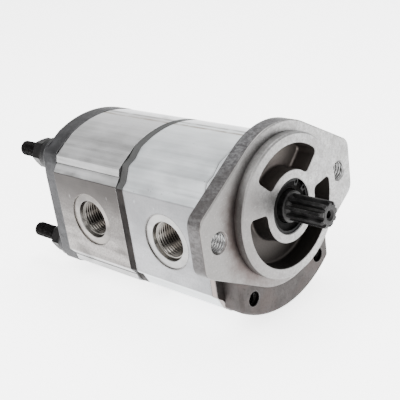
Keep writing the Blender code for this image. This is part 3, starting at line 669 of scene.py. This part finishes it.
def flange_edge(g, colour, place, radius):
    """The flange's own edge: mottled, with painted shade darkening its near end."""
    band = g.times(
        g.ramp(place["X"], -1.0, -1.2),
        g.ramp(place["X"], FLANGE_REAR + 0.1, FLANGE_REAR + 0.3),
        g.ramp(radius, 44.0, 45.0),
        g.ramp(place["Z"], -28.0, -24.0),
    )
    brushed = g.ramp(g.noise((420, 700, 700), 4.0, 0.65, offset=27.0), 0.38, 0.62)
    tone = g.mix(brushed, (0.050, 0.049, 0.051), (0.135, 0.135, 0.138))
    stained = g.ramp(g.noise(130, 4.0, 0.65, offset=43.0), 0.46, 0.64, 0.0, 0.55)
    tone = g.coat(tone, stained, (0.040, 0.038, 0.038))
    # Painted shade on the near end of the edge.
    near_end_shade = g.ramp(place["Y"], -28.0, -50.0, 0.0, 0.50)
    tone = g.coat(tone, near_end_shade, (0.040, 0.036, 0.034))
    return g.coat(colour, band, tone, 0.85)


def pilot_foot_shade(g, place, radius, tone):
    """Mask of painted shade and a painted dark reflection round the pilot's foot, on the near side and
    below.
    """
    uneven = g.ramp(g.noise(110, 4.0, 0.65, offset=35.0), 0.30, 0.70, -4.0, 4.0)
    return g.times(
        g.ramp(g.math("ADD", radius, uneven), 54.0, 44.0),
        g.ramp(place["Y"], 20.0, -30.0, 0.05, 1.0),
        g.ramp(place["X"], 3.0, 0.8, 0.15, 1.0),
        g.ramp(place["Z"], 30.0, 14.0, 0.10, 1.0),
        g.ramp(tone, 0.0, 1.0, 0.70, 0.95),
    )


def blasted_face(g, place, radius, tone):
    """Colour of the shot-blasted face and pilot, with painted shade darkening the near side."""
    # Painted shade on the near side of the face.
    near_side_shade = g.ramp(place["Y"], 10.0, -40.0)
    bright = g.mix(tone, (0.225, 0.224, 0.222), (0.315, 0.314, 0.312))
    colour = g.mix(near_side_shade, bright, (0.135, 0.130, 0.126))
    for noise, low, strength, layer_tone in (
        (g.noise(1700, 2.0, offset=17.0), 0.48, 0.50, (0.14, 0.138, 0.135)),
        (g.noise(620, 3.0, 0.65, offset=21.0), 0.46, 0.60, (0.12, 0.118, 0.115)),
        (g.noise(150, 4.0, 0.65, offset=37.0), 0.48, 0.45, (0.115, 0.110, 0.107)),
    ):
        colour = g.coat(colour, g.ramp(noise, low, 0.62), layer_tone, strength)
    scores = g.ramp(g.noise((700, 500, 900), 3.0, 0.7, offset=39.0), 0.58, 0.68)
    colour = g.coat(colour, scores, (0.48, 0.48, 0.48), 0.15)
    # Painted shade and a painted dark reflection round the pilot's foot.
    return g.coat(colour, pilot_foot_shade(g, place, radius, tone), (0.062, 0.048, 0.045))


def front_cover_metal():
    """Dark cast skin, with a bright blasted front face, pilot and bore."""
    g = Graph("cast_front_cover")
    place = g.axes()
    radius = g.length(place["Y"], place["Z"])
    side = g.away(place["Y"])
    colour, rough, tone = cast_skin(g, (0.027, 0.024, 0.023), (0.046, 0.041, 0.040))
    neck = g.ramp(place["X"], NECK_FRONT + 0.2, NECK_FRONT - 0.2)
    colour = g.coat(colour, neck, (0.190, 0.160, 0.150))
    brown = g.ramp(g.noise(70, 3.0, 0.6, offset=33.0), 0.45, 0.62)
    colour = g.coat(colour, brown, (0.048, 0.036, 0.033), 0.45)
    colour = flange_edge(g, colour, place, radius)
    behind_flange = g.ramp(place["X"], FLANGE_REAR + 0.1, FLANGE_REAR - 0.1)
    collar = g.times(behind_flange, g.ramp(place["Z"], -12.0, -8.0))
    colour = g.coat(colour, collar, g.mix(tone, (0.30, 0.31, 0.32), (0.40, 0.41, 0.42)))

    bolt = g.ramp(g.away(side, BOLT_Y), BOLT_MOUTH + 0.25, BOLT_MOUTH - 0.05)
    bolt = g.times(bolt, g.ramp(g.away(place["Z"]), BOLT_MOUTH + 0.25, BOLT_MOUTH - 0.05))
    facing_front = g.ramp(g.normal()["X"], 0.5, 0.8)
    pilot_rim = g.ramp(radius, 38.5, 38.8)
    bore_mouth = g.times(g.ramp(radius, 18.0, 17.2), g.ramp(place["X"], 5.6, 6.0))
    faced = g.math("MAXIMUM", g.math("MAXIMUM", facing_front, pilot_rim), bore_mouth)
    faced = g.times(faced, g.ramp(place["X"], -0.9, -0.6))
    faced = g.math("MAXIMUM", faced, bolt)
    colour = g.coat(colour, faced, blasted_face(g, place, radius, tone))

    in_pocket = g.times(g.ramp(radius, 18.7, 19.3), g.ramp(radius, 36.6, 36.0))
    in_pocket = g.times(in_pocket, g.ramp(place["X"], 6.0, 5.0))
    # The pockets' cast tone with painted shade, darkest in the lower pocket.
    pocket_shade_tone = g.mix(g.ramp(place["Z"], -12.0, 12.0), (0.030, 0.027, 0.025), (0.088, 0.078, 0.072))
    colour = g.coat(colour, in_pocket, pocket_shade_tone, 0.88)
    # Painted shade: the seal bore and the tapped lobe holes are painted near black.
    bore = g.times(g.ramp(radius, 17.5, 17.0), g.ramp(place["X"], 6.0, 5.6))
    from_stud = g.length(g.away(side, STUD_Y), g.math("SUBTRACT", place["Z"], STUD_Z["lower"]))
    tapped = g.times(g.ramp(from_stud, 5.1, 4.7), g.ramp(place["X"], -2.7, -3.3))
    colour = g.coat(colour, g.math("MAXIMUM", bore, tapped), (0.007, 0.006, 0.006))
    drilled = g.times(bolt, g.ramp(place["X"], -0.8, -1.4))
    lit = g.ramp(g.open_air(6.0), 0.40, 0.90)
    colour = g.coat(colour, drilled, g.mix(lit, (0.014, 0.013, 0.012), (0.26, 0.26, 0.26)))

    # Painted shade in corners, weaker on the blasted faces.
    dirt_and_shade = g.times(g.corner_shade(3.0), g.ramp(faced, 0.0, 1.0, 0.6, 0.14))
    colour = g.coat(colour, dirt_and_shade, (0.026, 0.022, 0.020))
    # Edge wear with a painted edge highlight, left out in the pockets.
    edge = g.times(g.edge_wear_and_highlight(0.4), g.math("SUBTRACT", 1.0, in_pocket))
    colour = g.coat(colour, edge, (0.40, 0.40, 0.40), 0.4)
    rough = g.math("SUBTRACT", rough, g.times(faced, 0.08))
    g.surface(colour, g.math("SUBTRACT", rough, g.times(drilled, 0.20)))
    return g.material


def rear_cover_metal():
    """Dark cast skin with blackened upper bosses."""
    g = Graph("cast_rear_cover")
    place = g.axes()
    colour, rough = cast_skin(g, (0.017, 0.017, 0.018), (0.040, 0.040, 0.042))[:2]
    cover_back = REAR_ENDS[1]
    boss = g.ramp(place["X"], cover_back, cover_back - 0.6)
    boss = g.times(boss, g.ramp(place["Z"], -20.0, -10.0))
    colour = g.coat(colour, boss, (0.007, 0.007, 0.007), 0.85)
    # Painted shade in corners, then edge wear with a painted edge highlight.
    colour = g.coat(colour, g.corner_shade(4.0), (0.022, 0.019, 0.017), 0.7)
    colour = g.coat(colour, g.edge_wear_and_highlight(0.5), (0.32, 0.32, 0.32), 0.4)
    g.surface(colour, rough)
    return g.material


def dark_plate():
    """Centre plate: painted light makes it grey where it faces up, painted shade makes it near black on
    its flat sides, fine cross lines.
    """
    g = Graph("dark_plate")
    grain = g.noise((1300, 500, 500))
    mottle = g.ramp(g.noise((50, 60, 60), 4.0, offset=4.0), 0.40, 0.60)
    lines = g.noise((2600, 60, 60), 2.0, offset=8.0)
    colour = g.mix(mottle, (0.012, 0.0105, 0.010), (0.042, 0.039, 0.038))
    # Painted light on the faces turned up.
    top_light = g.ramp(g.normal()["Z"], 0.15, 0.50)
    colour = g.coat(colour, top_light, (0.042, 0.043, 0.043), 0.8)
    # Painted shade in corners, then edge wear with a painted edge highlight.
    colour = g.coat(colour, g.corner_shade(2.0), (0.008, 0.007, 0.006), 0.7)
    colour = g.coat(colour, g.edge_wear_and_highlight(0.3), (0.15, 0.15, 0.15), 0.35)
    # Painted shade making the flat sides near black.
    facing_side = g.ramp(g.away(g.normal()["Y"]), 0.90, 0.97)
    side_shade = g.mix(mottle, (0.0025, 0.0018, 0.0015), (0.0090, 0.0072, 0.0066))
    colour = g.coat(colour, facing_side, side_shade, 0.92)
    g.surface(colour, g.ramp(grain, 0.3, 0.7, 0.38, 0.55), 0.0, specular=0.03)
    g.bump((lines, 0.3, 0.03), (grain, 0.3, 0.04))
    return g.material


def black_steel(name, light, gloss):
    """Blackened, oiled steel with rubbed edges that carry a painted highlight."""
    g = Graph(name)
    grain = g.noise(1500)
    mottle = g.noise(160, 4.0, offset=6.0)
    colour = g.mix(g.ramp(mottle, 0.40, 0.60), scaled(light, 0.3), light)
    # Rubbed edges with a painted edge highlight.
    rubbed_and_highlit = g.times(g.edge_wear_and_highlight(0.25), g.ramp(mottle, 0.42, 0.58))
    colour = g.coat(colour, rubbed_and_highlit, scaled(light, 7.0), 0.6)
    g.surface(colour, g.ramp(mottle, 0.3, 0.7, 0.36, 0.54), 0.7, gloss)
    g.bump((grain, 0.22, 0.03), (mottle, 0.10, 0.05))
    return g.material


def black_rubber():
    """Matt black rubber with a little dust."""
    g = Graph("nitrile_rubber")
    grain = g.noise(900)
    dust = g.noise(120, 4.0, offset=2.0)
    colour = g.mix(g.ramp(dust, 0.4, 0.7), (0.002, 0.002, 0.002), (0.006, 0.0055, 0.005))
    g.surface(colour, g.ramp(grain, 0.3, 0.7, 0.65, 0.85), 0.0, specular=0.06)
    g.bump((grain, 0.25, 0.04))
    return g.material


def worked_metal(name, dark, light, rough):
    """Turned or ground metal: rings of fine lines, slight stains, painted shade in corners and rubbed
    edges with a painted highlight.
    """
    g = Graph(name)
    lines = g.noise((3000, 90, 90), 2.0)
    grain = g.noise(1400, 2.0, offset=3.0)
    stain = g.noise(85, 4.0, offset=5.0)
    colour = g.mix(g.ramp(stain, 0.35, 0.65), dark, light)
    # Painted shade in corners, then edge wear with a painted edge highlight.
    colour = g.coat(colour, g.corner_shade(1.5), scaled(dark, 0.25), 0.5)
    colour = g.coat(colour, g.edge_wear_and_highlight(0.2), scaled(light, 1.3), 0.4)
    g.surface(colour, g.ramp(lines, 0.3, 0.7, rough, rough + 0.14))
    g.bump((lines, 0.25, 0.02), (grain, 0.15, 0.02))
    return g.material


FRONT_DRAWN = extruded_aluminium(
    "drawn_front_body",
    PORT_X["front"],
    dark=(0.33, 0.345, 0.355),
    light=(0.54, 0.56, 0.575),
    flat_dark=(0.165, 0.166, 0.172),
    flat_light=(0.27, 0.272, 0.28),
    dirt_and_shade=0.12,
)
REAR_DRAWN = extruded_aluminium(
    "drawn_rear_body",
    PORT_X["rear"],
    dark=(0.19, 0.19, 0.188),
    light=(0.41, 0.41, 0.415),
    flat_dark=(0.060, 0.053, 0.050),
    flat_light=(0.22, 0.208, 0.200),
    dirt_and_shade=0.60,
)
COVER = front_cover_metal()
CAST = rear_cover_metal()
PLATE = dark_plate()
BLACK = black_steel("blackened_steel", (0.016, 0.0155, 0.0155), 0.22)
FASTENER = black_steel("oxide_fastener_steel", (0.0045, 0.004, 0.004), 0.10)
SPRING = black_steel("oiled_spring_steel", (0.003, 0.003, 0.003), 0.08)
RUBBER = black_rubber()
GROUND = worked_metal("ground_steel", (0.22, 0.22, 0.225), (0.36, 0.36, 0.365), 0.16)
BLOCK = worked_metal("machined_block", (0.28, 0.27, 0.25), (0.40, 0.39, 0.36), 0.28)
BRONZE = worked_metal("bearing_bronze", (0.24, 0.13, 0.06), (0.38, 0.23, 0.11), 0.30)


# ---------------- housing

def stud_bores(front, rear):
    return [plate("bore", circle(STUD_BORE, place), straight(front, rear)) for place in STUDS.values()]


def dowel_bores(front, rear):
    return [plate("pin", circle(DOWEL_BORE, place), straight(front, rear)) for place in DOWELS]


def cover_bore_cutters():
    bore = lathe("seal_bore", [
        (0.0, 8.0),
        (17.7, 8.0),
        (15.6, PILOT_TOP - 0.45),
        (15.5, PILOT_TOP - 0.7),
        (15.5, -8.0),
        (10.0, -8.6),
        (10.0, -21.0),
        (0.0, -21.0),
    ], steps=144)
    groove = lathe("ring_groove", [(0.0, 5.65), (16.4, 5.65), (16.4, 4.35), (0.0, 4.35)], steps=144)
    return [bore, groove]


def pocket_cutters():
    """The short upper pocket and the long lower one, with a rounded floor."""
    rows = [(PILOT_TOP + 1.0, -1.3), (PILOT_TOP - 0.3, 0.0)]
    rows += edge_levels(0.0, -6.0, 0.0, 1.6)[5:]
    return [plate("pocket", sector(angles), rows) for angles in ((43, 137), (171, 369))]


def bolt_hole_cutters():
    """Threaded holes through the lugs, coned at both ends."""
    pitch, depth = 1.75, 0.75
    rows = [(0.0, 1.0), (BOLT_MOUTH, 1.0), (BOLT_MOUTH, 0.0), (BOLT_HOLE, -1.0)]
    rows += thread_rows(BOLT_HOLE, -1.1, -9.0, pitch)[1:]
    rows += [(BOLT_HOLE, -9.1), (BOLT_MOUTH, -10.0), (BOLT_MOUTH, -11.0), (0.0, -11.0)]
    thread = (-9.4, -0.7, pitch, depth)
    return [lathe("bolt_hole", rows, (y, 0.0), 64, thread) for y in (-BOLT_Y, BOLT_Y)]


def lobe_hole_cutters():
    """Blind tapped holes in the front of the lobe, in line with the lower studs."""
    radius, mouth = 4.3, 4.6
    pitch, depth = 1.5, 0.4
    rows = [(0.0, -1.0), (mouth, -1.0), (mouth, -2.65), (radius, -3.0)]
    rows += thread_rows(radius, -3.6, -7.6, pitch)[1:] + [(0.0, -8.0)]
    thread = (-7.6, -4.2, pitch, depth)
    return [lathe("tapped", rows, STUDS["lower_" + side], 48, thread) for side in ("left", "right")]


def front_cover():
    cover = plate("front_cover_casting", flange_outline(), edge_levels(0.0, FLANGE_REAR, 0.9, 0.7))
    lobe = plate("lobe", lobe_outline(), edge_levels(-2.65, NECK_FRONT, 2.2, 0.15))
    neck_rows = [(NECK_FRONT + 0.5, 0.0), (COVER_REAR + 0.1, 0.0), (COVER_REAR, 0.1)]
    neck = plate("neck", FRONT_SECTION, neck_rows)
    pilot = lathe("pilot", [
        (0.0, PILOT_TOP),
        (PILOT - 1.1, PILOT_TOP),
        (PILOT - 0.9, PILOT_TOP - 0.06),
        (PILOT - 0.12, PILOT_TOP - 0.85),
        (PILOT, PILOT_TOP - 1.1),
        (PILOT, 0.9),
        (PILOT - 0.5, 0.7),
        (PILOT - 0.5, -0.5),
        (0.0, -0.5),
    ], steps=192)
    boolean(cover, "UNION", lobe, neck, pilot)
    cutters = cover_bore_cutters() + pocket_cutters()
    cutters += stud_bores(-7.0, COVER_REAR - 1.0)
    cutters += dowel_bores(COVER_REAR + DOWEL_DEPTH, COVER_REAR - 1.0)
    cutters += bolt_hole_cutters() + lobe_hole_cutters()
    boolean(cover, "DIFFERENCE", *cutters)
    finish_piece(cover, "housing", COVER, ["front_cover"])


def port_cutter(x, side, thread, mouth, spotface, passage):
    """Spotface, coned mouth, threaded bore and passage, sunk into one side of a body."""
    minor, depth, pitch = thread - 0.45, 0.95, 1.8
    thread_end, floor = -18.0, -38.0
    rows = [
        (0.0, 1.0),
        (spotface, 1.0),
        (spotface, -0.7),
        (spotface - 0.1, -0.8),
        (mouth + 0.25, -0.8),
        (mouth, -1.0),
        (minor + 0.95, -3.2),
        (minor + 0.5, -3.5),
    ]
    rows += thread_rows(minor, -3.6, thread_end, pitch)
    rows += [(passage, thread_end - (minor - passage) * 0.6), (passage, floor), (0.0, floor)]
    cutter = lathe("port", rows, steps=112, thread=(thread_end, -3.2, pitch, depth))
    turn = Matrix.Rotation(side * math.pi / 2, 4, "Z")
    cutter.data.transform(Matrix.Translation((x * MM, side * FLAT_Y * MM, MID_Z * MM)) @ turn)
    return cutter


def racetrack(radius):
    """Two half circles, one on each gear's axis, joined by straight sides."""
    return arc((0.0, 0.0), radius, 0.0, math.pi) + arc((0.0, DRIVEN_Z), radius, math.pi, 2 * math.pi)


def body_section(which):
    """A pump body: drawn section with the gear bore, ports, and seal grooves at both ends."""
    front, rear = BODY_ENDS[which]
    rows = chamfer_levels(front, rear, 0.12)
    holes = [(figure_eight(GEAR_BORE), rows)]
    holes += [(circle(STUD_BORE, place), rows) for place in STUDS.values()]
    section = FRONT_SECTION if which == "front" else REAR_SECTION
    body = plate(f"{which}_body_section", section, rows, holes)
    cutters = [port_cutter(PORT_X[which], side, **port) for side, port in PORTS.items()]
    outer, inner = racetrack(22.6), racetrack(20.0)
    for start, end in ((front + 1.0, front - 1.9), (rear + 1.9, rear - 1.0)):
        groove = straight(start, end)
        cutters.append(plate("groove", outer, groove, [(inner, groove)]))
    cutters += dowel_bores(front + 1.0, front - DOWEL_DEPTH)
    cutters += dowel_bores(rear + DOWEL_DEPTH, rear - 1.0)
    boolean(body, "DIFFERENCE", *cutters)
    material = FRONT_DRAWN if which == "front" else REAR_DRAWN
    finish_piece(body, "housing", material, [which + "_body"], 30.0)


def centre_plate():
    front, rear = PLATE_ENDS
    sleeve_bore = 11.0
    holes = [circle(sleeve_bore)] + [circle(STUD_BORE, place) for place in STUDS.values()]
    holes += [circle(DOWEL_BORE, place) for place in DOWELS]
    rows = chamfer_levels(front, rear, 0.25)
    piece = plate("centre_plate_section", FRONT_SECTION, rows, [(hole, rows) for hole in holes])
    finish_piece(piece, "housing", PLATE, ["centre_plate"])


def rear_cover():
    front, rear = REAR_ENDS
    piece = plate("rear_cover_casting", REAR_COVER, edge_levels(front, rear, 0.35, 1.3))
    bosses = [
        lathe("boss", [
            (0.0, rear + 2.0),
            (11.6, rear + 2.0),
            (11.6, rear + 0.1),
            (11.1, rear - 0.5),
            (11.0, rear - 1.1),
            (11.0, BOSS_REAR + 0.7),
            (10.5, BOSS_REAR),
            (0.0, BOSS_REAR),
        ], place, 72)
        for place in STUDS.values()
    ]
    boolean(piece, "UNION", *bosses)
    cutters = stud_bores(front + 1.0, BOSS_REAR - 1.0)
    cutters += dowel_bores(front + 1.0, front - DOWEL_DEPTH)
    boolean(piece, "DIFFERENCE", *cutters)
    finish_piece(piece, "housing", CAST, ["rear_cover"])


# ---------------- fasteners

NUT_FRONT = -167.1
NUT_REAR = -175.5
NUT_FLATS = 17.0
STUD_REAR = {"upper": -196.0, "lower": -201.5}
STUD_THREAD = -171.0
STUD_PITCH = 1.5


def tie_studs():
    for place, axis in STUDS.items():
        end = STUD_REAR[place.split("_")[0]]
        rows = [(0.0, -8.0), (3.9, -8.0), (4.95, -9.2)]
        rows += [(4.95, STUD_THREAD + 1.0), (4.1, STUD_THREAD)]
        rows += thread_rows(4.1, STUD_THREAD - 0.2, end + 1.4, STUD_PITCH)
        rows += [(3.95, end + 0.8), (3.3, end + 0.25), (2.0, end + 0.05), (0.0, end)]
        thread = (end + 1.1, STUD_THREAD, STUD_PITCH, 0.88)
        stud = lathe("threaded_stud_" + place, rows, axis, 40, thread)
        finish_piece(stud, "housing", FASTENER, ["tie_stud_" + place], 40.0)


def hex_nut(place, axis):
    """Hexagon whose corners are cut back by a cone at both ends."""
    corner = NUT_FLATS / math.sqrt(3)
    bore = (circle(5.2, axis), chamfer_levels(NUT_FRONT, NUT_REAR, 0.5))
    nut = plate("flange_nut_" + place, circle(corner, axis, 6), straight(NUT_FRONT, NUT_REAR), [bore])
    cone = lathe("cone", [
        (0.0, NUT_FRONT),
        (8.0, NUT_FRONT),
        (corner + 0.3, NUT_FRONT - 1.3),
        (corner + 0.3, NUT_REAR + 1.3),
        (8.0, NUT_REAR),
        (0.0, NUT_REAR),
    ], axis, 72)
    boolean(nut, "INTERSECT", cone)
    finish_piece(nut, "housing", FASTENER, ["hex_nut_" + place])


def plain_washer(place, axis):
    front, rear = BOSS_REAR - 0.3, BOSS_REAR - 2.3
    washer = lathe("plain_washer_" + place, [
        (5.6, front),
        (10.0, front),
        (10.2, front - 0.25),
        (10.2, rear + 0.25),
        (10.0, rear),
        (5.6, rear),
        (5.35, rear + 0.2),
        (5.35, front - 0.2),
    ], axis, 72, closed=True)
    finish_piece(washer, "housing", FASTENER, ["washer_" + place])


def nuts_and_washers():
    for place, axis in STUDS.items():
        hex_nut(place, axis)
        plain_washer(place, axis)


# ---------------- shaft and seal

SHAFT_END = 31.5
MODULE = 3.0
TEETH = 10
PITCH_RADIUS = MODULE * TEETH / 2
PRESSURE_ANGLE = math.radians(25)
BACKLASH = 0.45
GEAR_ROOT = 11.8
GEAR_TIP = 17.8
GEAR_HALF_WIDTH = 10.0
SPLINE_TEETH = 9


def involute(radius, base):
    """Angle that an involute has turned through where it reaches the radius."""
    ratio = math.sqrt((radius / base) ** 2 - 1)
    return ratio - math.atan(ratio)


def gear_outline(phase):
    """Ten involute teeth of module 3, the first one centred on the phase angle."""
    base = PITCH_RADIUS * math.cos(PRESSURE_ANGLE)
    tooth_width = math.pi * MODULE / 2 - BACKLASH
    base_half = tooth_width / (2 * PITCH_RADIUS) + involute(PITCH_RADIUS, base)
    flank = [(GEAR_ROOT, base_half)]
    steps = 6
    for i in range(steps + 1):
        radius = base + (GEAR_TIP - base) * i / steps
        flank.append((radius, base_half - involute(radius, base)))
    outline = []
    for tooth in range(TEETH):
        centre = phase + 2 * math.pi * tooth / TEETH
        points = [(r, centre - half) for r, half in flank]
        points += [(r, centre + half) for r, half in reversed(flank)]
        outline += [(r * math.cos(a), r * math.sin(a)) for r, a in points]
    return outline


def spline_outline(outer, depth, rounding):
    """Straight-flanked teeth, narrower at the tip than at the root."""
    inner = outer - depth
    pitch = 2 * math.pi / SPLINE_TEETH
    root_round = rounding * 1.5
    tooth = (
        (inner, -0.30, root_round),
        (outer, -0.17, rounding),
        (outer, 0.17, rounding),
        (inner, 0.30, root_round),
    )
    corners = []
    for count in range(SPLINE_TEETH):
        for reach, share, radius in tooth:
            angle = pitch * (count + share)
            corners.append((reach * math.cos(angle), reach * math.sin(angle), radius))
    return rounded(corners)


def drive_shaft():
    """Front drive shaft: input spline, gear, rear spline, and a centre hole in its end."""
    shaft = lathe("input_shaft", [
        (0.0, SHAFT_END),
        (5.1, SHAFT_END),
        (5.35, SHAFT_END - 0.3),
        (5.35, 10.2),
        (5.7, 8.9),
        (6.6, 7.9),
        (7.6, 7.4),
        (8.4, 7.25),
        (9.0, 6.6),
        (9.0, -76.0),
        (8.4, -76.6),
        (5.1, -76.6),
        (5.1, -83.9),
        (0.0, -83.9),
    ])
    teeth_front, teeth_rear = SHAFT_END - 0.1, 7.3
    teeth = plate("teeth", spline_outline(7.75, 2.2, 0.3), straight(teeth_front, teeth_rear))
    limit = lathe("limit", [
        (0.0, teeth_front),
        (6.35, teeth_front),
        (7.8, teeth_front - 1.2),
        (7.8, teeth_rear),
        (0.0, teeth_rear),
    ])
    boolean(teeth, "INTERSECT", limit)
    gear_front, gear_rear = PORT_X["front"] + GEAR_HALF_WIDTH, PORT_X["front"] - GEAR_HALF_WIDTH
    gear_rows = chamfer_levels(gear_front, gear_rear, 0.25)
    gear = plate("gear", gear_outline(math.pi / 2), gear_rows)
    tail = plate("tail", spline_outline(6.6, 1.3, 0.2), straight(-76.1, -83.4))
    boolean(shaft, "UNION", teeth, gear, tail)
    centre_hole = lathe("centre_hole", [
        (0.0, SHAFT_END + 1.0),
        (3.5, SHAFT_END + 1.0),
        (3.35, SHAFT_END - 0.1),
        (2.9, SHAFT_END - 0.5),
        (2.1, SHAFT_END - 1.0),
        (2.0, SHAFT_END - 4.5),
        (0.0, SHAFT_END - 5.7),
    ], steps=48)
    boolean(shaft, "DIFFERENCE", centre_hole)
    finish_piece(shaft, "drive_train", BLACK, ["front_drive_shaft"])


def shaft_seal():
    """Lip seal: rubber-covered case, a dished front wall and a lip on the shaft."""
    seal = lathe("lip_seal", [
        (14.3, 4.0),
        (14.9, 3.8),
        (15.2, 3.3),
        (15.2, -3.0),
        (13.6, -3.0),
        (13.6, 1.6),
        (12.6, 1.9),
        (11.0, 1.8),
        (10.6, -1.4),
        (9.6, -1.2),
        (9.3, -0.8),
        (9.75, 1.9),
        (9.6, 2.9),
        (9.9, 3.4),
        (10.3, 3.3),
        (10.8, 2.7),
        (12.6, 2.6),
        (13.6, 3.0),
        (13.9, 3.7),
    ], steps=120, closed=True)
    finish_piece(seal, "housing", RUBBER, ["shaft_seal"], 45.0)


def retaining_ring():
    """Internal snap ring: an open ring with two drilled lugs at its gap."""
    outer, inner, lug = 16.1, 13.9, 11.7
    gap, ear = math.radians(10), math.radians(24)
    start = math.radians(45)
    end = start + 2 * math.pi
    outline = arc((0.0, 0.0), outer, start + gap, end - gap)
    outline += arc((0.0, 0.0), lug, end - gap, end - ear)
    outline += arc((0.0, 0.0), inner, end - ear, start + ear)
    outline += arc((0.0, 0.0), lug, start + ear, start + gap)
    rows = chamfer_levels(5.35, 4.65, 0.1)
    middle = (lug + outer) / 2
    holes = []
    for side in (-1, 1):
        angle = start + side * (gap + ear) / 2
        centre = (middle * math.cos(angle), middle * math.sin(angle))
        holes.append((circle(0.95, centre), rows))
    ring = plate("snap_ring", outline, rows, holes)
    finish_piece(ring, "housing", SPRING, ["seal_retaining_ring"])


front_cover()
body_section("front")
centre_plate()
body_section("rear")
rear_cover()
tie_studs()
nuts_and_washers()
drive_shaft()
shaft_seal()
retaining_ring()

INNER = {
    "block_aluminium": BLOCK,
    "bearing_bronze": BRONZE,
    "black_rubber": RUBBER,
    "ground_steel": GROUND,
}
for row in frame["record"]["subparts"]:
    node = frame["nodes"][row["node"]]
    if not node.hide_render:
        node.data.materials.clear()
        node.data.materials.append(INNER[row["material_slot"]])


# ---------------- stage

FLOOR_REACH = 30.0
FLOOR_GLOW = 3.2
WHITE = (1.0, 1.0, 1.0, 1.0)
CAMERA_PLACE = (0.282127, -0.330383, 0.191890)
CAMERA_TURN = (66.93857, 7.83886, 43.12225)  # degrees about X, Y and Z


def floor_material():
    g = Graph("pale_floor")
    pale = (0.92, 0.92, 0.92)
    soft = g.noise(2.0, 2.0)
    g.surface(g.mix(soft, pale, scaled(pale, 0.98)), 0.6, 0.0)
    g.shader.inputs["Emission Color"].default_value = WHITE
    g.shader.inputs["Emission Strength"].default_value = FLOOR_GLOW
    return g.material


def floor():
    """A wide pale floor just under the part."""
    height = CAD_BOX[0].z - 0.5 * MM
    shape = bmesh.new()
    for x, y in ((-1, -1), (1, -1), (1, 1), (-1, 1)):
        shape.verts.new((x * FLOOR_REACH, y * FLOOR_REACH, height))
    shape.faces.new(shape.verts)
    obj = new_object("floor", shape)
    obj.data.materials.append(floor_material())


def area_light(name, place, target, size, power):
    data = bpy.data.lights.new(name, "AREA")
    data.shape = "RECTANGLE"
    data.size, data.size_y = size
    data.energy = power
    light = bpy.data.objects.new(name, data)
    light.location = place
    aim = target - Vector(place)
    light.rotation_euler = aim.to_track_quat("-Z", "Y").to_euler()
    bpy.context.scene.collection.objects.link(light)


def sky():
    world = bpy.data.worlds.new("studio")
    world.use_nodes = True
    background = world.node_tree.nodes["Background"]
    background.inputs["Color"].default_value = WHITE
    background.inputs["Strength"].default_value = 1.6
    bpy.context.scene.world = world


def camera():
    data = bpy.data.cameras.new("camera")
    data.sensor_width = 36.0
    data.lens = 77.1
    data.clip_start = 0.01
    data.clip_end = 100.0
    obj = bpy.data.objects.new("camera", data)
    turn = Euler(math.radians(angle) for angle in CAMERA_TURN)
    obj.matrix_world = Matrix.LocRotScale(Vector(CAMERA_PLACE), turn, None)
    bpy.context.scene.collection.objects.link(obj)
    bpy.context.scene.camera = obj


floor()
sky()
MIDDLE = (CAD_BOX[0] + CAD_BOX[1]) / 2
area_light("key", (-0.15, -0.75, 0.95), MIDDLE, (0.9, 0.9), 20.0)
area_light("front_fill", (0.95, -0.25, 0.35), MIDDLE, (0.6, 0.8), 7.0)
area_light("top", (-0.05, 0.35, 1.0), MIDDLE, (0.8, 0.5), 11.0)
camera()
